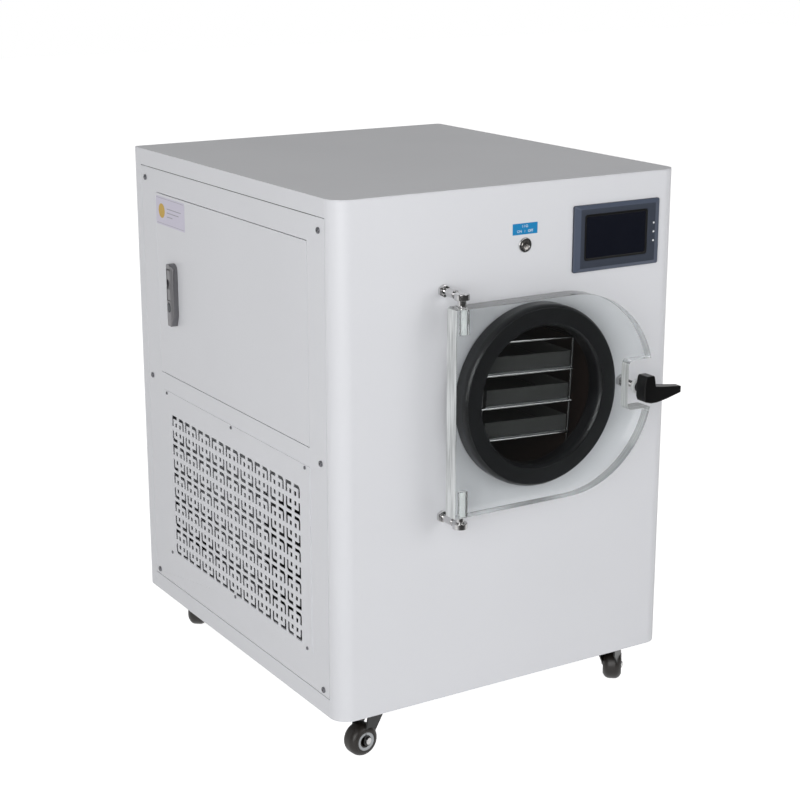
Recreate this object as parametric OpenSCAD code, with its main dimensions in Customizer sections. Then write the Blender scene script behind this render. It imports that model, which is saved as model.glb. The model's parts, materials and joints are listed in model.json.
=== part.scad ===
// Bench-height freeze dryer on casters.
// Every size is in millimetres and +Z is up.
// The origin is on the floor, under the middle of the whole machine.
// Inside place() a point is given in cabinet coordinates: x from the middle of the cabinet,
// y back from its front face and z up from its underside.

/* [Cabinet] */
// Width over the side panels
cab_w = 600; // [600:10:760]
// Depth from the front face to the rear face
cab_d = 670; // [640:10:840]
// Height without the casters
cab_h = 770; // [770:10:960]
// Thickness of the folded sheet
sheet = 1.5; // [1:0.1:2]
// Radius of the two front corners
front_r = 27; // [12:1:27]
// Radius of the two rear corners
rear_r = 6; // [4:1:12]
// Distance from the cabinet's top to the rear louvres
louvre_top = 56; // [50:1:90]
// Width of the border in front of a side panel
border_front = 28; // [28:1:40]
// Width of the border behind a side panel
border_rear = 26; // [24:1:40]
// Height of the border over a side panel
border_top = 27; // [26:1:40]
// Height of the border under a side panel
border_bottom = 29; // [26:1:40]
// Gap round each inset panel and door
seam = 1; // [0.6:0.1:1.6]

/* [Inner frame] */
// Width of the square tube
tube = 22; // [18:1:26]
// Wall of the square tube
tube_wall = 1.5; // [1.2:0.1:2.5]
// Distance from a side panel's upright edge to the middle of its tube
tube_inset = 17; // [15:1:20]
// Height from the deck to the middle of the chamber
deck_drop = 150; // [140:1:160]

/* [Vents] */
// Height of the vent plate's lower edge
vent_z = 84; // [70:1:100]
// Distance from the cabinet's top to the vent plate's upper edge
vent_top = 396; // [380:1:420]
// Distance from the front face to the vent plate
vent_front = 78; // [70:1:100]
// Distance from the vent plate to the rear face
vent_rear = 86; // [70:1:110]
// Thickness of the vent plate
vent_t = 1; // [0.8:0.1:1.5]
// Distance between the middles of two lattice cells
lattice_pitch = 50; // [44:1:60]
// Width of one lattice cell
lattice_cell = 44.8; // [36:0.1:46]
// Width of the lattice slots
lattice_slot = 5.5; // [4:0.1:7]
// Width of the bridge between two corner slots
lattice_bridge = 7.6; // [6:0.1:10]

/* [Service door] */
// Distance from the cabinet's top to the door opening
service_top = 65; // [55:1:80]
// Distance from the cabinet's top to the bottom of the door opening
service_bottom = 367; // [340:1:370]
// Distance from the rear face to the door opening
service_rear = 80; // [76:1:100]
// Distance from the front face to the door opening
service_front = 79; // [76:1:100]
// Depth of the door's folded edge
service_fold = 12; // [10:1:16]
// Height of the side lock
lock_h = 103; // [96:1:110]
// Width of the side lock
lock_w = 24; // [22:1:30]
// Distance that the side lock stands out
lock_out = 12; // [10:0.5:15]

/* [Chamber] */
// Sideways distance from the cabinet's middle to the chamber's middle
drum_x = 21.5; // [0:0.5:30]
// Distance from the cabinet's top to the chamber's middle
drum_top = 308; // [300:1:320]
// Bore of the drum
drum_id = 240; // [236:1:250]
// Wall of the drum
drum_wall = 2.5; // [2:0.1:4]
// Depth of the drum behind the front face
drum_len = 380; // [350:10:420]
// Outer radius of the gasket
gasket_or = 137; // [134:1:145]
// Inner radius of the gasket
gasket_ir = 104; // [100:1:110]
// Distance from the front face to the gasket's flat sealing face
gasket_out = 33.7; // [30:0.1:40]
// Clearance between the gasket and the door plate
seal_gap = 0.3; // [0.3:0.1:0.6]
// Pitch of the refrigerant coil round the drum
coil_pitch = 36; // [30:1:40]

/* [Chamber door] */
// Thickness of the clear door plate
door_t = 30; // [20:1:36]
// Radius of the door's round end, which is half its height
door_r = 153; // [150:1:165]
// Sideways distance from the chamber's middle to the middle of the door's round end
door_shift = 38.5; // [30:0.5:45]
// Distance from the chamber's middle to the door's straight edge
door_reach = 164.5; // [158:0.5:175]
// Depth of the clamp notch in the door's round end
notch_d = 48; // [40:1:55]
// Height of the clamp notch
notch_h = 76.5; // [70:0.5:90]
// Radius of the notch's inner corners
notch_r = 8; // [4:1:12]
// Distance from the door's straight edge to the hinge axis
pin_inset = 18.2; // [16:0.1:24]
// Diameter of the hinge pins
pin_d = 8; // [6:0.5:10]
// Height of the collar between the plate and a hinge eye
collar_h = 11; // [8:0.5:14]
// Outer diameter of a hinge eye
eye_d = 22; // [18:1:26]
// Height of a hinge eye
eye_h = 9; // [7:0.5:12]

/* [Clamp] */
// Sideways distance from the door's round tip to the clamp stud
clamp_inset = 23; // [20:0.5:26]
// Height of the clamp stud under the chamber's middle
clamp_drop = 5.5; // [0:0.5:8]
// Diameter of the clamp stud
stud_d = 10; // [8:1:12]
// Thickness of the clamp knob
knob_t = 21; // [16:1:24]
// Length of the knob's arm from the stud
knob_arm = 63; // [50:1:70]
// Clearance between the knob's arm and the door plate
knob_gap = 1; // [0.5:0.1:3]

/* [Rack and trays] */
// Width of the wire rack
rack_w = 163; // [150:1:166]
// Depth of the wire rack
rack_d = 300; // [260:10:330]
// Height from one shelf to the next
shelf_pitch = 49; // [44:0.5:50]
// Number of wire frames
rack_levels = 4; // [3:1:4]
// Diameter of the rack's wire
wire_d = 4; // [3:0.5:5]
// Turn of the rack about the chamber's axis, in degrees
rack_roll = 3; // [0:0.5:4]
// Width of a tray
tray_w = 148; // [120:1:150]
// Height of a tray
tray_h = 24; // [16:1:30]
// Wall of a tray
tray_wall = 1.5; // [0.8:0.1:2]

/* [Controls] */
// Sideways place of the touch screen's middle
screen_x = 182; // [170:1:200]
// Distance from the cabinet's top to the screen's middle
screen_top = 91; // [80:1:95]
// Width of the screen's bezel
screen_w = 160; // [150:1:180]
// Height of the screen's bezel
screen_h = 100; // [90:1:110]
// Distance that the bezel stands out
screen_out = 7; // [5:0.5:9]
// Sideways place of the push button
button_x = 16; // [0:1:40]
// Distance from the cabinet's top to the push button
button_top = 90; // [84:1:100]
// Diameter of the push button's ring
button_d = 22; // [20:1:26]

/* [Rear services] */
// Distance that the vacuum flange stands behind the rear face
port_out = 35; // [25:1:50]
// Bore of the vacuum pipe
port_id = 25; // [24:0.5:26]
// Outer diameter of the drain spigot
drain_d = 14; // [10:1:16]

/* [Casters] */
// Height of a caster
caster_h = 72; // [68:1:80]
// Diameter of a wheel
wheel_d = 50; // [46:1:52]
// Width of a wheel
wheel_w = 21; // [18:1:24]
// Distance from the swivel axis to the wheel's axle
caster_trail = 20; // [16:1:22]
// Distance from the cabinet's sides to a swivel axis
caster_inset_x = 72; // [60:1:90]
// Distance from the front and rear faces to a swivel axis
caster_inset_y = 38; // [36:1:70]

/* [Hidden] */
$fn = 48;
eps = 0.01;
run_gap = 0.05;

// Colours of the finishes
white_paint = [0.86, 0.86, 0.87];
zinc = [0.72, 0.73, 0.74];
steel = [0.76, 0.77, 0.78];
rubber_black = [0.06, 0.06, 0.065];
plastic_black = [0.05, 0.05, 0.055];
clear = [0.85, 0.92, 0.93, 0.35];

// Places and sizes that several pieces share
vent_screw_r = 1.5;
panel_screw_r = 2.5;
lock_button_out = 0.5;
cab_x = (lock_out + lock_button_out - max(head_h(panel_screw_r), vent_t + head_h(vent_screw_r))) / 2;
front_out = gasket_out + seal_gap + door_t + knob_gap + knob_t;
cab_y = front_out - (front_out + cab_d + port_out) / 2;
half_w = cab_w / 2;
tube_y = [border_front + tube_inset, cab_d - border_rear - tube_inset];
tube_x = half_w - sheet - tube / 2;
pan_t = 2;
drum_z = cab_h - drum_top;
drum_or = drum_id / 2 + drum_wall;
deck_z = drum_z - deck_drop;
saddle_t = 4;
coil_start = 40;
coil_rings = floor((drum_len - 60) / coil_pitch) + 1;
saddle_y = [for (i = [0.5, coil_rings - 1.5]) coil_start + i * coil_pitch - saddle_t / 2];
mid_rail_z = (vent_z + vent_h() + cab_h - service_bottom) / 2;
door_back = gasket_out + seal_gap;
door_front = door_back + door_t;
door_mid = (door_back + door_front) / 2;
door_z = drum_z - 2;
door_left = drum_x - door_reach;
door_cx = drum_x + door_shift;
door_tip = door_cx + door_r;
pin_x = door_left + pin_inset;
eye_z = [door_z - door_r - collar_h - eye_h / 2, door_z + door_r + collar_h + eye_h / 2];
clamp_x = door_tip - clamp_inset;
clamp_z = drum_z - clamp_drop;
knob_y = -door_front - knob_gap;
caster_y = [caster_inset_y, cab_d - caster_inset_y];
caster_x = half_w - caster_inset_x;
caster_turns = [201, 35.6, 246, 115];
port_z = drum_z;
drain_z = drum_z - drum_id / 2 + 16;

// Height of a pan head on a screw of radius r
function head_h(r) = 1.15 * r;

function vent_h() = cab_h - vent_top - vent_z;
function vent_len() = cab_d - vent_front - vent_rear;
function mid_y() = (tube_y[0] + tube_y[1]) / 2;

// Moves a piece from cabinet coordinates to the machine's own frame
module place() {
  translate([cab_x, cab_y, caster_h]) children();
}

// Extrudes a shape drawn in y and z from x = x0 to x = x0 + t
module upright_yz(x0, t) {
  translate([x0, 0, 0]) rotate([90, 0, 90]) linear_extrude(t) children();
}

// Extrudes a shape drawn in x and z from y = y0 to y = y0 + t
module upright_xz(y0, t) {
  translate([0, y0 + t, 0]) rotate([90, 0, 0]) linear_extrude(t) children();
}

// A round bar along y from y0 to y1
module bar_y(x, z, y0, y1, d) {
  translate([x, y0, z]) rotate([-90, 0, 0]) cylinder(h = y1 - y0, d = d);
}

// A round bar along x from x0 to x1
module bar_x(y, z, x0, x1, d) {
  translate([x0, y, z]) rotate([0, 90, 0]) cylinder(h = x1 - x0, d = d);
}

// A rectangle with its corners rounded, from its lower left corner
module rounded_rect(size, r) {
  translate([r, 0]) square([size[0] - 2 * r, size[1]]);
  translate([0, r]) square([size[0], size[1] - 2 * r]);
  for (x = [r, size[0] - r], y = [r, size[1] - r]) translate([x, y]) circle(r);
}

// A box given by its two corners
module span(low, high) {
  translate(low) cube(high - low);
}

// ---------------------------------------------------------------- cabinet

// The cabinet's plan, drawn inward by d from its outer faces
module plan(d) {
  rf = front_r - d;
  rr = max(rear_r - d, 0.5);
  w = half_w - d;
  translate([-w, d + rf]) square([2 * w, cab_d - 2 * d - rf - rr]);
  translate([-w + rf, d]) square([2 * (w - rf), rf]);
  translate([-w + rr, cab_d - d - rr]) square([2 * (w - rr), rr]);
  for (s = [-1, 1]) {
    translate([s * (w - rf), d + rf]) circle(rf);
    translate([s * (w - rr), cab_d - d - rr]) circle(rr);
  }
}

// The part of the cabinet's wall between two depths
module wall(y0, y1, h) {
  linear_extrude(h) intersection() {
    difference() {
      plan(0);
      plan(sheet);
    }
    translate([-half_w - 1, y0]) square([cab_w + 2, y1 - y0]);
  }
}

// Bottom sheet with the border strips under the side panels
module base_pan() {
  color(white_paint) place() union() {
    linear_extrude(pan_t) plan(sheet);
    for (s = [-1, 1]) {
      x0 = s < 0 ? -half_w : half_w - sheet;
      span([x0, border_front, 0], [x0 + sheet, cab_d - border_rear, border_bottom]);
    }
  }
}

// Front sheet that wraps both round corners
module front_panel() {
  color(white_paint) place() difference() {
    wall(-1, border_front, cab_h - sheet);
    bar_y(drum_x, drum_z, -1, sheet + 1, 2 * drum_or + 8);
    bar_y(button_x, cab_h - button_top, -1, sheet + 1, button_d - 6);
    bar_y(clamp_x, clamp_z, -1, sheet + 1, stud_d);
    for (z = eye_z) bar_y(pin_x, z, -1, sheet + 1, pin_d);
    span([screen_x - screen_w / 2 + 6, -1, cab_h - screen_top - screen_h / 2 + 6],
         [screen_x + screen_w / 2 - 6, sheet + 1, cab_h - screen_top + screen_h / 2 - 6]);
  }
}

// Lid with the border strips over the side panels
module top_panel() {
  color([0.80, 0.80, 0.80]) place() union() {
    translate([0, 0, cab_h - sheet]) linear_extrude(sheet) plan(0);
    for (s = [-1, 1]) {
      x0 = s < 0 ? -half_w : half_w - sheet;
      span([x0, border_front, cab_h - border_top], [x0 + sheet, cab_d - border_rear, cab_h]);
    }
  }
}

// Slots of one louvre field, from its lower left corner
module louvres(columns, rows) {
  for (c = [0:columns - 1], r = [0:rows - 1]) translate([c * 96, r * 16]) rounded_rect([80, 6], 2.5);
}

// Rear sheet with its louvres and service holes
module rear_panel() {
  color(white_paint) place() difference() {
    wall(cab_d - border_rear, cab_d + 1, cab_h - sheet);
    upright_xz(cab_d - sheet - 1, sheet + 2) translate([-half_w + 68, cab_h - louvre_top - 134]) louvres(5, 9);
    bar_y(drum_x, port_z, cab_d - sheet - 1, cab_d + 1, port_id + 3);
    bar_y(drum_x, drain_z, cab_d - sheet - 1, cab_d + 1, drain_d);
    upright_xz(cab_d - sheet - 1, sheet + 2) inlet_cut(0);
    for (p = rear_screw_points()) bar_y(p[0], p[1], cab_d - sheet - 1, cab_d + 1, 2 * panel_screw_r);
  }
}

function side_screw_points() =
  [for (y = tube_y, z = [border_bottom + 10, mid_rail_z, cab_h - border_top - 19]) [y, z]];

function rear_screw_points() =
  [for (s = [-1, 1], z = [40, mid_rail_z, cab_h - 40]) [s * (half_w - 18), z]];

// Outline of a side panel with its vent opening and, on the left, its door opening
module side_outline(has_door) {
  difference() {
    translate([border_front + seam, border_bottom + seam])
      square([cab_d - border_front - border_rear - 2 * seam, cab_h - border_top - border_bottom - 2 * seam]);
    translate([vent_front + 16, vent_z + 8]) square([vent_len() - 32, vent_h() - 30]);
    if (has_door) translate([service_front, cab_h - service_bottom])
      square([cab_d - service_front - service_rear, service_bottom - service_top]);
    for (p = side_screw_points()) translate(p) circle(panel_screw_r);
    for (p = vent_screw_points()) translate(p) circle(vent_screw_r);
  }
}

// Left side panel with the tabs and the rear stop of the service door
module left_panel() {
  color(white_paint) place() difference() {
    union() {
      upright_yz(-half_w, sheet) side_outline(true);
      span([-half_w + sheet - eps, cab_d - service_rear - 7, mid_rail_z + tube / 2 + 0.5],
           [-half_w + 2 * sheet, cab_d - service_rear + 10, cab_h - service_top + 5]);
      for (z = service_tab_z())
        span([-half_w, service_pin_y - 8, z], [-half_w + 12, service_pin_y + 8, z + 2]);
    }
    for (z = service_tab_z()) translate([service_pin_x, service_pin_y, z - 1]) cylinder(h = 4, d = 4);
  }
}

// Right side panel
module right_panel() {
  color(white_paint) place() upright_yz(half_w - sheet, sheet) side_outline(false);
}

// Square shape with one corner rounded, from that corner
module corner_square(a, r) {
  translate([r, 0]) square([a - r, a]);
  translate([0, r]) square([a, a - r]);
  translate([r, r]) circle(r);
}

// Corner slot of a lattice cell: a square or a rounded L
module lattice_corner(is_round) {
  arm = (lattice_cell - lattice_bridge) / 2;
  r = 12;
  difference() {
    if (is_round) corner_square(arm, r);
    else square(arm);
    translate([lattice_slot, lattice_slot])
      if (is_round) corner_square(arm, r - lattice_slot);
      else square(arm);
  }
}

// Holes of one lattice cell: four corner slots round four small squares
module lattice_holes() {
  half = lattice_cell / 2;
  for (i = [0:3]) rotate(90 * i) translate([-half, -half]) lattice_corner(i % 2 == 0);
  for (x = [-1, 1], y = [-1, 1]) translate([x * lattice_bridge, y * lattice_bridge]) square(7, center = true);
}

function vent_screw_points() =
  [for (a = [0, 0.5, 1], b = [0, 1])
    [vent_front + 14 + a * (vent_len() - 28), vent_z + 9 + b * (vent_h() - 18) - (b == 0 ? 5 : -5)]];

// Vent plate with its lattice
module vent_outline() {
  columns = floor((vent_len() - 40) / lattice_pitch);
  rows = floor((vent_h() - 40) / lattice_pitch);
  y0 = vent_front + vent_len() / 2 - (columns - 1) / 2 * lattice_pitch;
  z0 = vent_z + vent_h() / 2 - 15 - (rows - 1) / 2 * lattice_pitch;
  difference() {
    translate([vent_front, vent_z]) square([vent_len(), vent_h()]);
    for (c = [0:columns - 1], r = [0:rows - 1])
      translate([y0 + c * lattice_pitch, z0 + r * lattice_pitch]) lattice_holes();
    for (p = vent_screw_points()) translate(p) circle(vent_screw_r);
  }
}

module left_vent() {
  color(white_paint) place() upright_yz(-half_w - vent_t, vent_t) vent_outline();
}

module right_vent() {
  color(white_paint) place() upright_yz(half_w, vent_t) vent_outline();
}

// Square tube from one corner to the other, hollow along the axis named by its longest side
module square_tube(low, high) {
  size = high - low;
  along = size[0] > tube + 1 ? 0 : size[1] > tube + 1 ? 1 : 2;
  grow = [for (i = [0:2]) i == along ? 1 : -tube_wall];
  difference() {
    span(low, high);
    span(low - grow, high + grow);
  }
}

// Welded frame: four posts, side rails, the deck and the two saddles under the drum
module inner_frame() {
  top = cab_h - sheet;
  color([0.62, 0.64, 0.66]) place() difference() {
    union() {
      for (s = [-1, 1], y = tube_y)
        square_tube([s * tube_x - tube / 2, y - tube / 2, pan_t], [s * tube_x + tube / 2, y + tube / 2, top]);
      for (s = [-1, 1], z = [pan_t + tube / 2, mid_rail_z, top - tube / 2])
        square_tube([s * tube_x - tube / 2, tube_y[0] + tube / 2, z - tube / 2],
                    [s * tube_x + tube / 2, tube_y[1] - tube / 2, z + tube / 2]);
      span([-tube_x + tube / 2, tube_y[0] - tube / 2, deck_z - 2],
           [tube_x - tube / 2, tube_y[1] + tube / 2, deck_z]);
      for (s = [-1, 1]) span([s * (tube_x - tube / 2) - 1, tube_y[0] + tube / 2, deck_z - 2],
                             [s * (tube_x - tube / 2) + 1, tube_y[1] - tube / 2, mid_rail_z]);
      for (y = saddle_y) span([drum_x - 80, y, deck_z], [drum_x + 80, y + saddle_t, drum_z - 60]);
    }
    bar_y(drum_x, drum_z, 0, cab_d, 2 * drum_or);
    for (p = side_screw_points()) bar_x(p[0], p[1], -half_w, half_w, 2 * panel_screw_r);
  }
}

// A pan-head screw whose head stands on z = 0 and whose shank runs down
module pan_screw(r, length) {
  rotate_extrude() {
    translate([0, -length]) square([r, length]);
    square([1.86 * r, 0.6 * r]);
    intersection() {
      translate([0, 0.6 * r]) scale(r) circle(1.86);
      translate([0, 0.6 * r]) square([1.86 * r, head_h(r) - 0.6 * r]);
    }
  }
}

// Screws that hold the side panels and the rear sheet
module panel_screws() {
  color(zinc) place() {
    for (p = side_screw_points()) {
      translate([-half_w, p[0], p[1]]) rotate([0, -90, 0]) pan_screw(panel_screw_r, 10);
      translate([half_w, p[0], p[1]]) rotate([0, 90, 0]) pan_screw(panel_screw_r, 10);
    }
    for (p = rear_screw_points())
      translate([p[0], cab_d, p[1]]) rotate([-90, 0, 0]) pan_screw(panel_screw_r, 10);
  }
}

// Small screws that hold the vent plates
module vent_screws() {
  color(white_paint) place() for (p = vent_screw_points()) {
    translate([-half_w - vent_t, p[0], p[1]]) rotate([0, -90, 0]) pan_screw(vent_screw_r, 6);
    translate([half_w + vent_t, p[0], p[1]]) rotate([0, 90, 0]) pan_screw(vent_screw_r, 6);
  }
}

// ----------------------------------------------------------- service door

service_pin_x = -half_w + 5;
service_pin_y = service_front + seam + 10;
service_sheet = 1.2;
lock_y = cab_d - service_rear - 65;
lock_z = cab_h - 224;

function service_tab_z() = [cab_h - service_bottom - 3, cab_h - service_top + 1];

// Outline of the lock: round at the top, narrowing to a blunt tip at the bottom
module lock_outline(d) {
  r = lock_w / 2 - d;
  tip = 6 - d / 2;
  top = lock_h / 2 - lock_w / 2;
  bottom = -lock_h / 2 + d;
  translate([0, top]) circle(r);
  polygon([[-r, top], [-r, bottom + 17], [-tip, bottom], [tip, bottom], [r, bottom + 17], [r, top]]);
}

// Door skin with folded edges, ears for the two hinge pins and the lock's cut-out
module service_door() {
  y0 = service_front + seam;
  y1 = cab_d - service_rear - seam;
  z0 = cab_h - service_bottom + seam;
  z1 = cab_h - service_top - seam;
  x0 = -half_w;
  t = service_sheet;
  color(white_paint) place() difference() {
    union() {
      upright_yz(x0, t) translate([y0, z0]) square([y1 - y0, z1 - z0]);
      upright_yz(x0, service_fold) difference() {
        translate([y0, z0]) square([y1 - 9 - y0, z1 - z0]);
        translate([y0 + t, z0 + t]) square([y1 - 9 - y0 - 2 * t, z1 - z0 - 2 * t]);
      }
    }
    for (z = [z0 - 1, z1 - 3]) translate([service_pin_x, service_pin_y, z]) cylinder(h = 4, r = 2 + run_gap);
    translate([0, lock_y, lock_z]) upright_yz(x0 - 1, t + 2) square([lock_w - 8, lock_h - 32], center = true);
  }
}

// Pins that carry the service door in the tabs of the side panel
module service_hinge_pins() {
  z0 = cab_h - service_bottom - 3;
  z1 = cab_h - service_top + 3;
  color(steel) place() {
    translate([service_pin_x, service_pin_y, z0]) cylinder(h = 7, d = 4);
    translate([service_pin_x, service_pin_y, z1 - 7]) cylinder(h = 7, d = 4);
  }
}

paddle_w = 12;
paddle_t = 5;
paddle_len = 48;
paddle_z = lock_z + lock_h / 2 - 12;
paddle_x = -half_w - lock_out + paddle_t / 2 + 0.6;
trunnion_d = 2.5;
trunnion_out = paddle_w / 2 + 2.3;
lock_button_z = lock_z - 20.5;
lock_button_w = 10;
lock_button_h = 15.5;

// Upright oval, grown by d
module oval(w, h, d) {
  square([w + 2 * d, h - w], center = true);
  for (s = [-1, 1]) translate([0, s * (h - w) / 2]) circle(w / 2 + d);
}

// Cast lock body: a round-edged bar with the paddle's recess and the button's bore
module lock_body() {
  edge = 7;
  low = lock_z - lock_h / 2;
  color(zinc) place() difference() {
    union() {
      intersection() {
        translate([0, lock_y, lock_z]) upright_yz(-half_w - lock_out, lock_out) lock_outline(0);
        translate([-half_w, lock_y, low]) linear_extrude(lock_h) union() {
          translate([-lock_out + edge, -lock_w / 2]) square([lock_out - edge, lock_w]);
          translate([-lock_out, -lock_w / 2 + edge]) square([lock_out, lock_w - 2 * edge]);
          for (s = [-1, 1]) translate([-lock_out + edge, s * (lock_w / 2 - edge)]) circle(edge);
        }
      }
      span([-half_w - eps, lock_y - lock_w / 2 + 4, low + 16],
           [-half_w + 16, lock_y + lock_w / 2 - 4, low + lock_h - 16]);
    }
    span([-half_w - lock_out - 1, lock_y - paddle_w / 2 - 0.5, paddle_z - paddle_len - 0.5],
         [paddle_x + paddle_t / 2 + 1, lock_y + paddle_w / 2 + 0.5, paddle_z + paddle_t / 2 + 0.8]);
    bar_y(paddle_x, paddle_z, lock_y - trunnion_out - 0.2, lock_y + trunnion_out + 0.2,
          trunnion_d + 2 * run_gap);
    translate([0, lock_y, lock_button_z]) upright_yz(-half_w - lock_out - 1, lock_out + 6)
      oval(lock_button_w, lock_button_h, run_gap);
  }
}

// Paddle that swings out on its own trunnions, with a dished thumb place
module lock_paddle() {
  color(zinc) place() difference() {
    union() {
      bar_y(paddle_x, paddle_z, lock_y - paddle_w / 2, lock_y + paddle_w / 2, paddle_t);
      bar_y(paddle_x, paddle_z, lock_y - trunnion_out, lock_y + trunnion_out, trunnion_d);
      span([paddle_x - paddle_t / 2, lock_y - paddle_w / 2, paddle_z - paddle_len],
           [paddle_x + paddle_t / 2, lock_y + paddle_w / 2, paddle_z]);
    }
    bar_y(paddle_x - paddle_t / 2 - 18, paddle_z - 22, lock_y - paddle_w, lock_y + paddle_w, 40);
  }
}

// Push button of the lock
module lock_button() {
  color([0.05, 0.09, 0.16]) place() translate([0, lock_y, lock_button_z])
    upright_yz(-half_w - lock_out - lock_button_out, lock_out + lock_button_out + 2)
      oval(lock_button_w, lock_button_h, 0);
}

// --------------------------------------------------------------- controls

screen_z = cab_h - screen_top;
window_w = 118;
window_h = 69;
window_dx = -3.7;
window_dz = 1.7;
glass_t = 2;

// Width of the bezel's sloping rim at the sides and at the top and bottom, and its outer edge
rim_x = 10;
rim_z = 6;
rim_edge = 3.3;

// Cross-section of the bezel: flat in the middle, sloping back to a thin edge over a rim
module bezel_section(width, rim) {
  polygon([[-width / 2, 0], [-width / 2, -rim_edge], [-width / 2 + rim, -screen_out],
           [width / 2 - rim, -screen_out], [width / 2, -rim_edge], [width / 2, 0]]);
}

// Bezel with a sloping rim round its window, and the housing behind the sheet
module screen_frame() {
  color([0.34, 0.37, 0.42]) place() translate([screen_x, 0, screen_z]) difference() {
    union() {
      intersection() {
        upright_xz(-screen_out, screen_out)
          translate([-screen_w / 2, -screen_h / 2]) rounded_rect([screen_w, screen_h], 3);
        translate([0, 0, -screen_h / 2]) linear_extrude(screen_h) bezel_section(screen_w, rim_x);
        translate([-screen_w / 2, 0, 0]) rotate([90, 0, 90]) linear_extrude(screen_w)
          rotate(-90) bezel_section(screen_h, rim_z);
      }
      upright_xz(-eps, 31)
        translate([-screen_w / 2 + 7, -screen_h / 2 + 7]) square([screen_w - 14, screen_h - 14]);
    }
    upright_xz(-screen_out - 1, glass_t + 1.8)
      translate([window_dx - window_w / 2, window_dz - window_h / 2]) rounded_rect([window_w, window_h], 3);
    for (i = [-1:1]) bar_y(screen_w / 2 - 13, 13.5 * i, -screen_out - 1, -screen_out + 2, 3);
  }
}

// Touch glass in the window
module screen_glass() {
  color([0.03, 0.035, 0.05]) place() translate([screen_x, 0, screen_z])
    upright_xz(-screen_out + 0.8 - eps, glass_t)
      translate([window_dx - window_w / 2, window_dz - window_h / 2]) rounded_rect([window_w, window_h], 3);
}

// Light pipes beside the window
module status_lights() {
  color([0.9, 0.92, 0.95]) place() translate([screen_x, 0, screen_z])
    for (i = [-1:1]) bar_y(screen_w / 2 - 13, 13.5 * i, -screen_out - 0.3, -screen_out + 2, 3);
}

button_z = cab_h - button_top;

// Ring and threaded neck of the push button
module button_ring() {
  color(steel) place() difference() {
    union() {
      bar_y(button_x, button_z, -2.5, 0, button_d);
      bar_y(button_x, button_z, -2.5, 24, button_d - 6);
      bar_y(button_x, button_z, sheet, sheet + 4, button_d);
    }
    bar_y(button_x, button_z, -3, 12, button_d - 8);
  }
}

// Cap that the finger pushes
module button_cap() {
  color(steel) place() bar_y(button_x, button_z, -3, 8, button_d - 8 - 2 * run_gap);
}

// ---------------------------------------------------------------- chamber

// Places a profile drawn as [radius, distance in front of the face] round the chamber's axis
module round_chamber() {
  translate([drum_x, 0, drum_z]) rotate([90, 0, 0]) rotate_extrude($fn = 96) children();
}

rim_out = 17;
drum_back = drum_len - 4;

// Drum with its dished back
module chamber_drum() {
  color([0.70, 0.71, 0.72]) place() difference() {
    union() {
      bar_y(drum_x, drum_z, -rim_out, drum_len, 2 * drum_or);
      bar_y(drum_x, drum_z, drum_len - eps, drum_len + 6, 2 * drum_or - 20);
    }
    bar_y(drum_x, drum_z, -rim_out - 1, drum_back, drum_id);
    bar_y(drum_x, port_z, drum_len - 5, drum_len + 7, port_id + 3);
    bar_y(drum_x, drain_z, drum_len - 5, drum_len + 7, drain_d);
  }
}

coil_d = 9;

// Refrigerant coil: rings round the drum on one header
module cooling_coil() {
  header_r = drum_or + coil_d + 3;
  color([0.72, 0.45, 0.28]) place() union() {
    for (i = [0:coil_rings - 1])
      translate([drum_x, coil_start + i * coil_pitch, drum_z]) rotate([90, 0, 0])
        rotate_extrude($fn = 72) translate([drum_or + coil_d / 2, 0]) circle(d = coil_d, $fn = 24);
    bar_y(drum_x + header_r * sin(35), drum_z + header_r * cos(35), coil_start - 6,
          coil_start + 6 + (coil_rings - 1) * coil_pitch, 12);
  }
}

// Thick rubber ring pushed over the drum's rim
module gasket() {
  w = gasket_or - gasket_ir;
  back = 3;
  depth = gasket_out - back;
  r_front = 10;
  r_back = 5;
  color(rubber_black) place() round_chamber() difference() {
    translate([gasket_ir, back]) union() {
      translate([0, r_back]) square([w, depth - r_back - r_front]);
      translate([r_back, 0]) square([w - 2 * r_back, depth]);
      for (x = [r_back, w - r_back]) translate([x, r_back]) circle(r_back);
      for (x = [r_front, w - r_front]) translate([x, depth - r_front]) circle(r_front);
    }
    translate([drum_id / 2, 0]) square([drum_wall, rim_out]);
  }
}

// Outline of the door plate in x and z
module door_outline() {
  difference() {
    union() {
      translate([door_left, door_z - door_r]) square([door_cx - door_left, 2 * door_r]);
      translate([door_cx, door_z]) circle(door_r, $fn = 120);
    }
    translate([door_tip - notch_d, drum_z - notch_h / 2]) {
      translate([notch_r, 0]) square([notch_d, notch_h]);
      translate([0, notch_r]) square([notch_d, notch_h - 2 * notch_r]);
      for (z = [notch_r, notch_h - notch_r]) translate([notch_r, z]) circle(notch_r);
    }
  }
}

// Chamfer that lets the plate swing past the gasket
door_chamfer = 5;
bush_d = 2 * pin_d;
bush_h = 38;

// Clear plate with a blind bore at each end of its hinge side
module door_plate() {
  color(clear) place() difference() {
    upright_xz(-door_front, door_t) door_outline();
    for (z = [door_z - door_r - 1, door_z + door_r - bush_h])
      translate([pin_x, -door_mid, z]) cylinder(h = bush_h + 1, d = bush_d);
    translate([door_left, -door_back, door_z - door_r - 1]) rotate(45)
      translate([-door_chamfer / sqrt(2), -10, 0]) cube([door_chamfer * sqrt(2), 20, 2 * door_r + 2]);
  }
}

// Nylon bushes in the plate
module hinge_bushes() {
  color([0.93, 0.94, 0.93]) place() for (z = [door_z - door_r, door_z + door_r - bush_h])
    translate([pin_x, -door_mid, z]) difference() {
      cylinder(h = bush_h, d = bush_d);
      translate([0, 0, -1]) cylinder(h = bush_h + 2, d = pin_d);
    }
}

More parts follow.
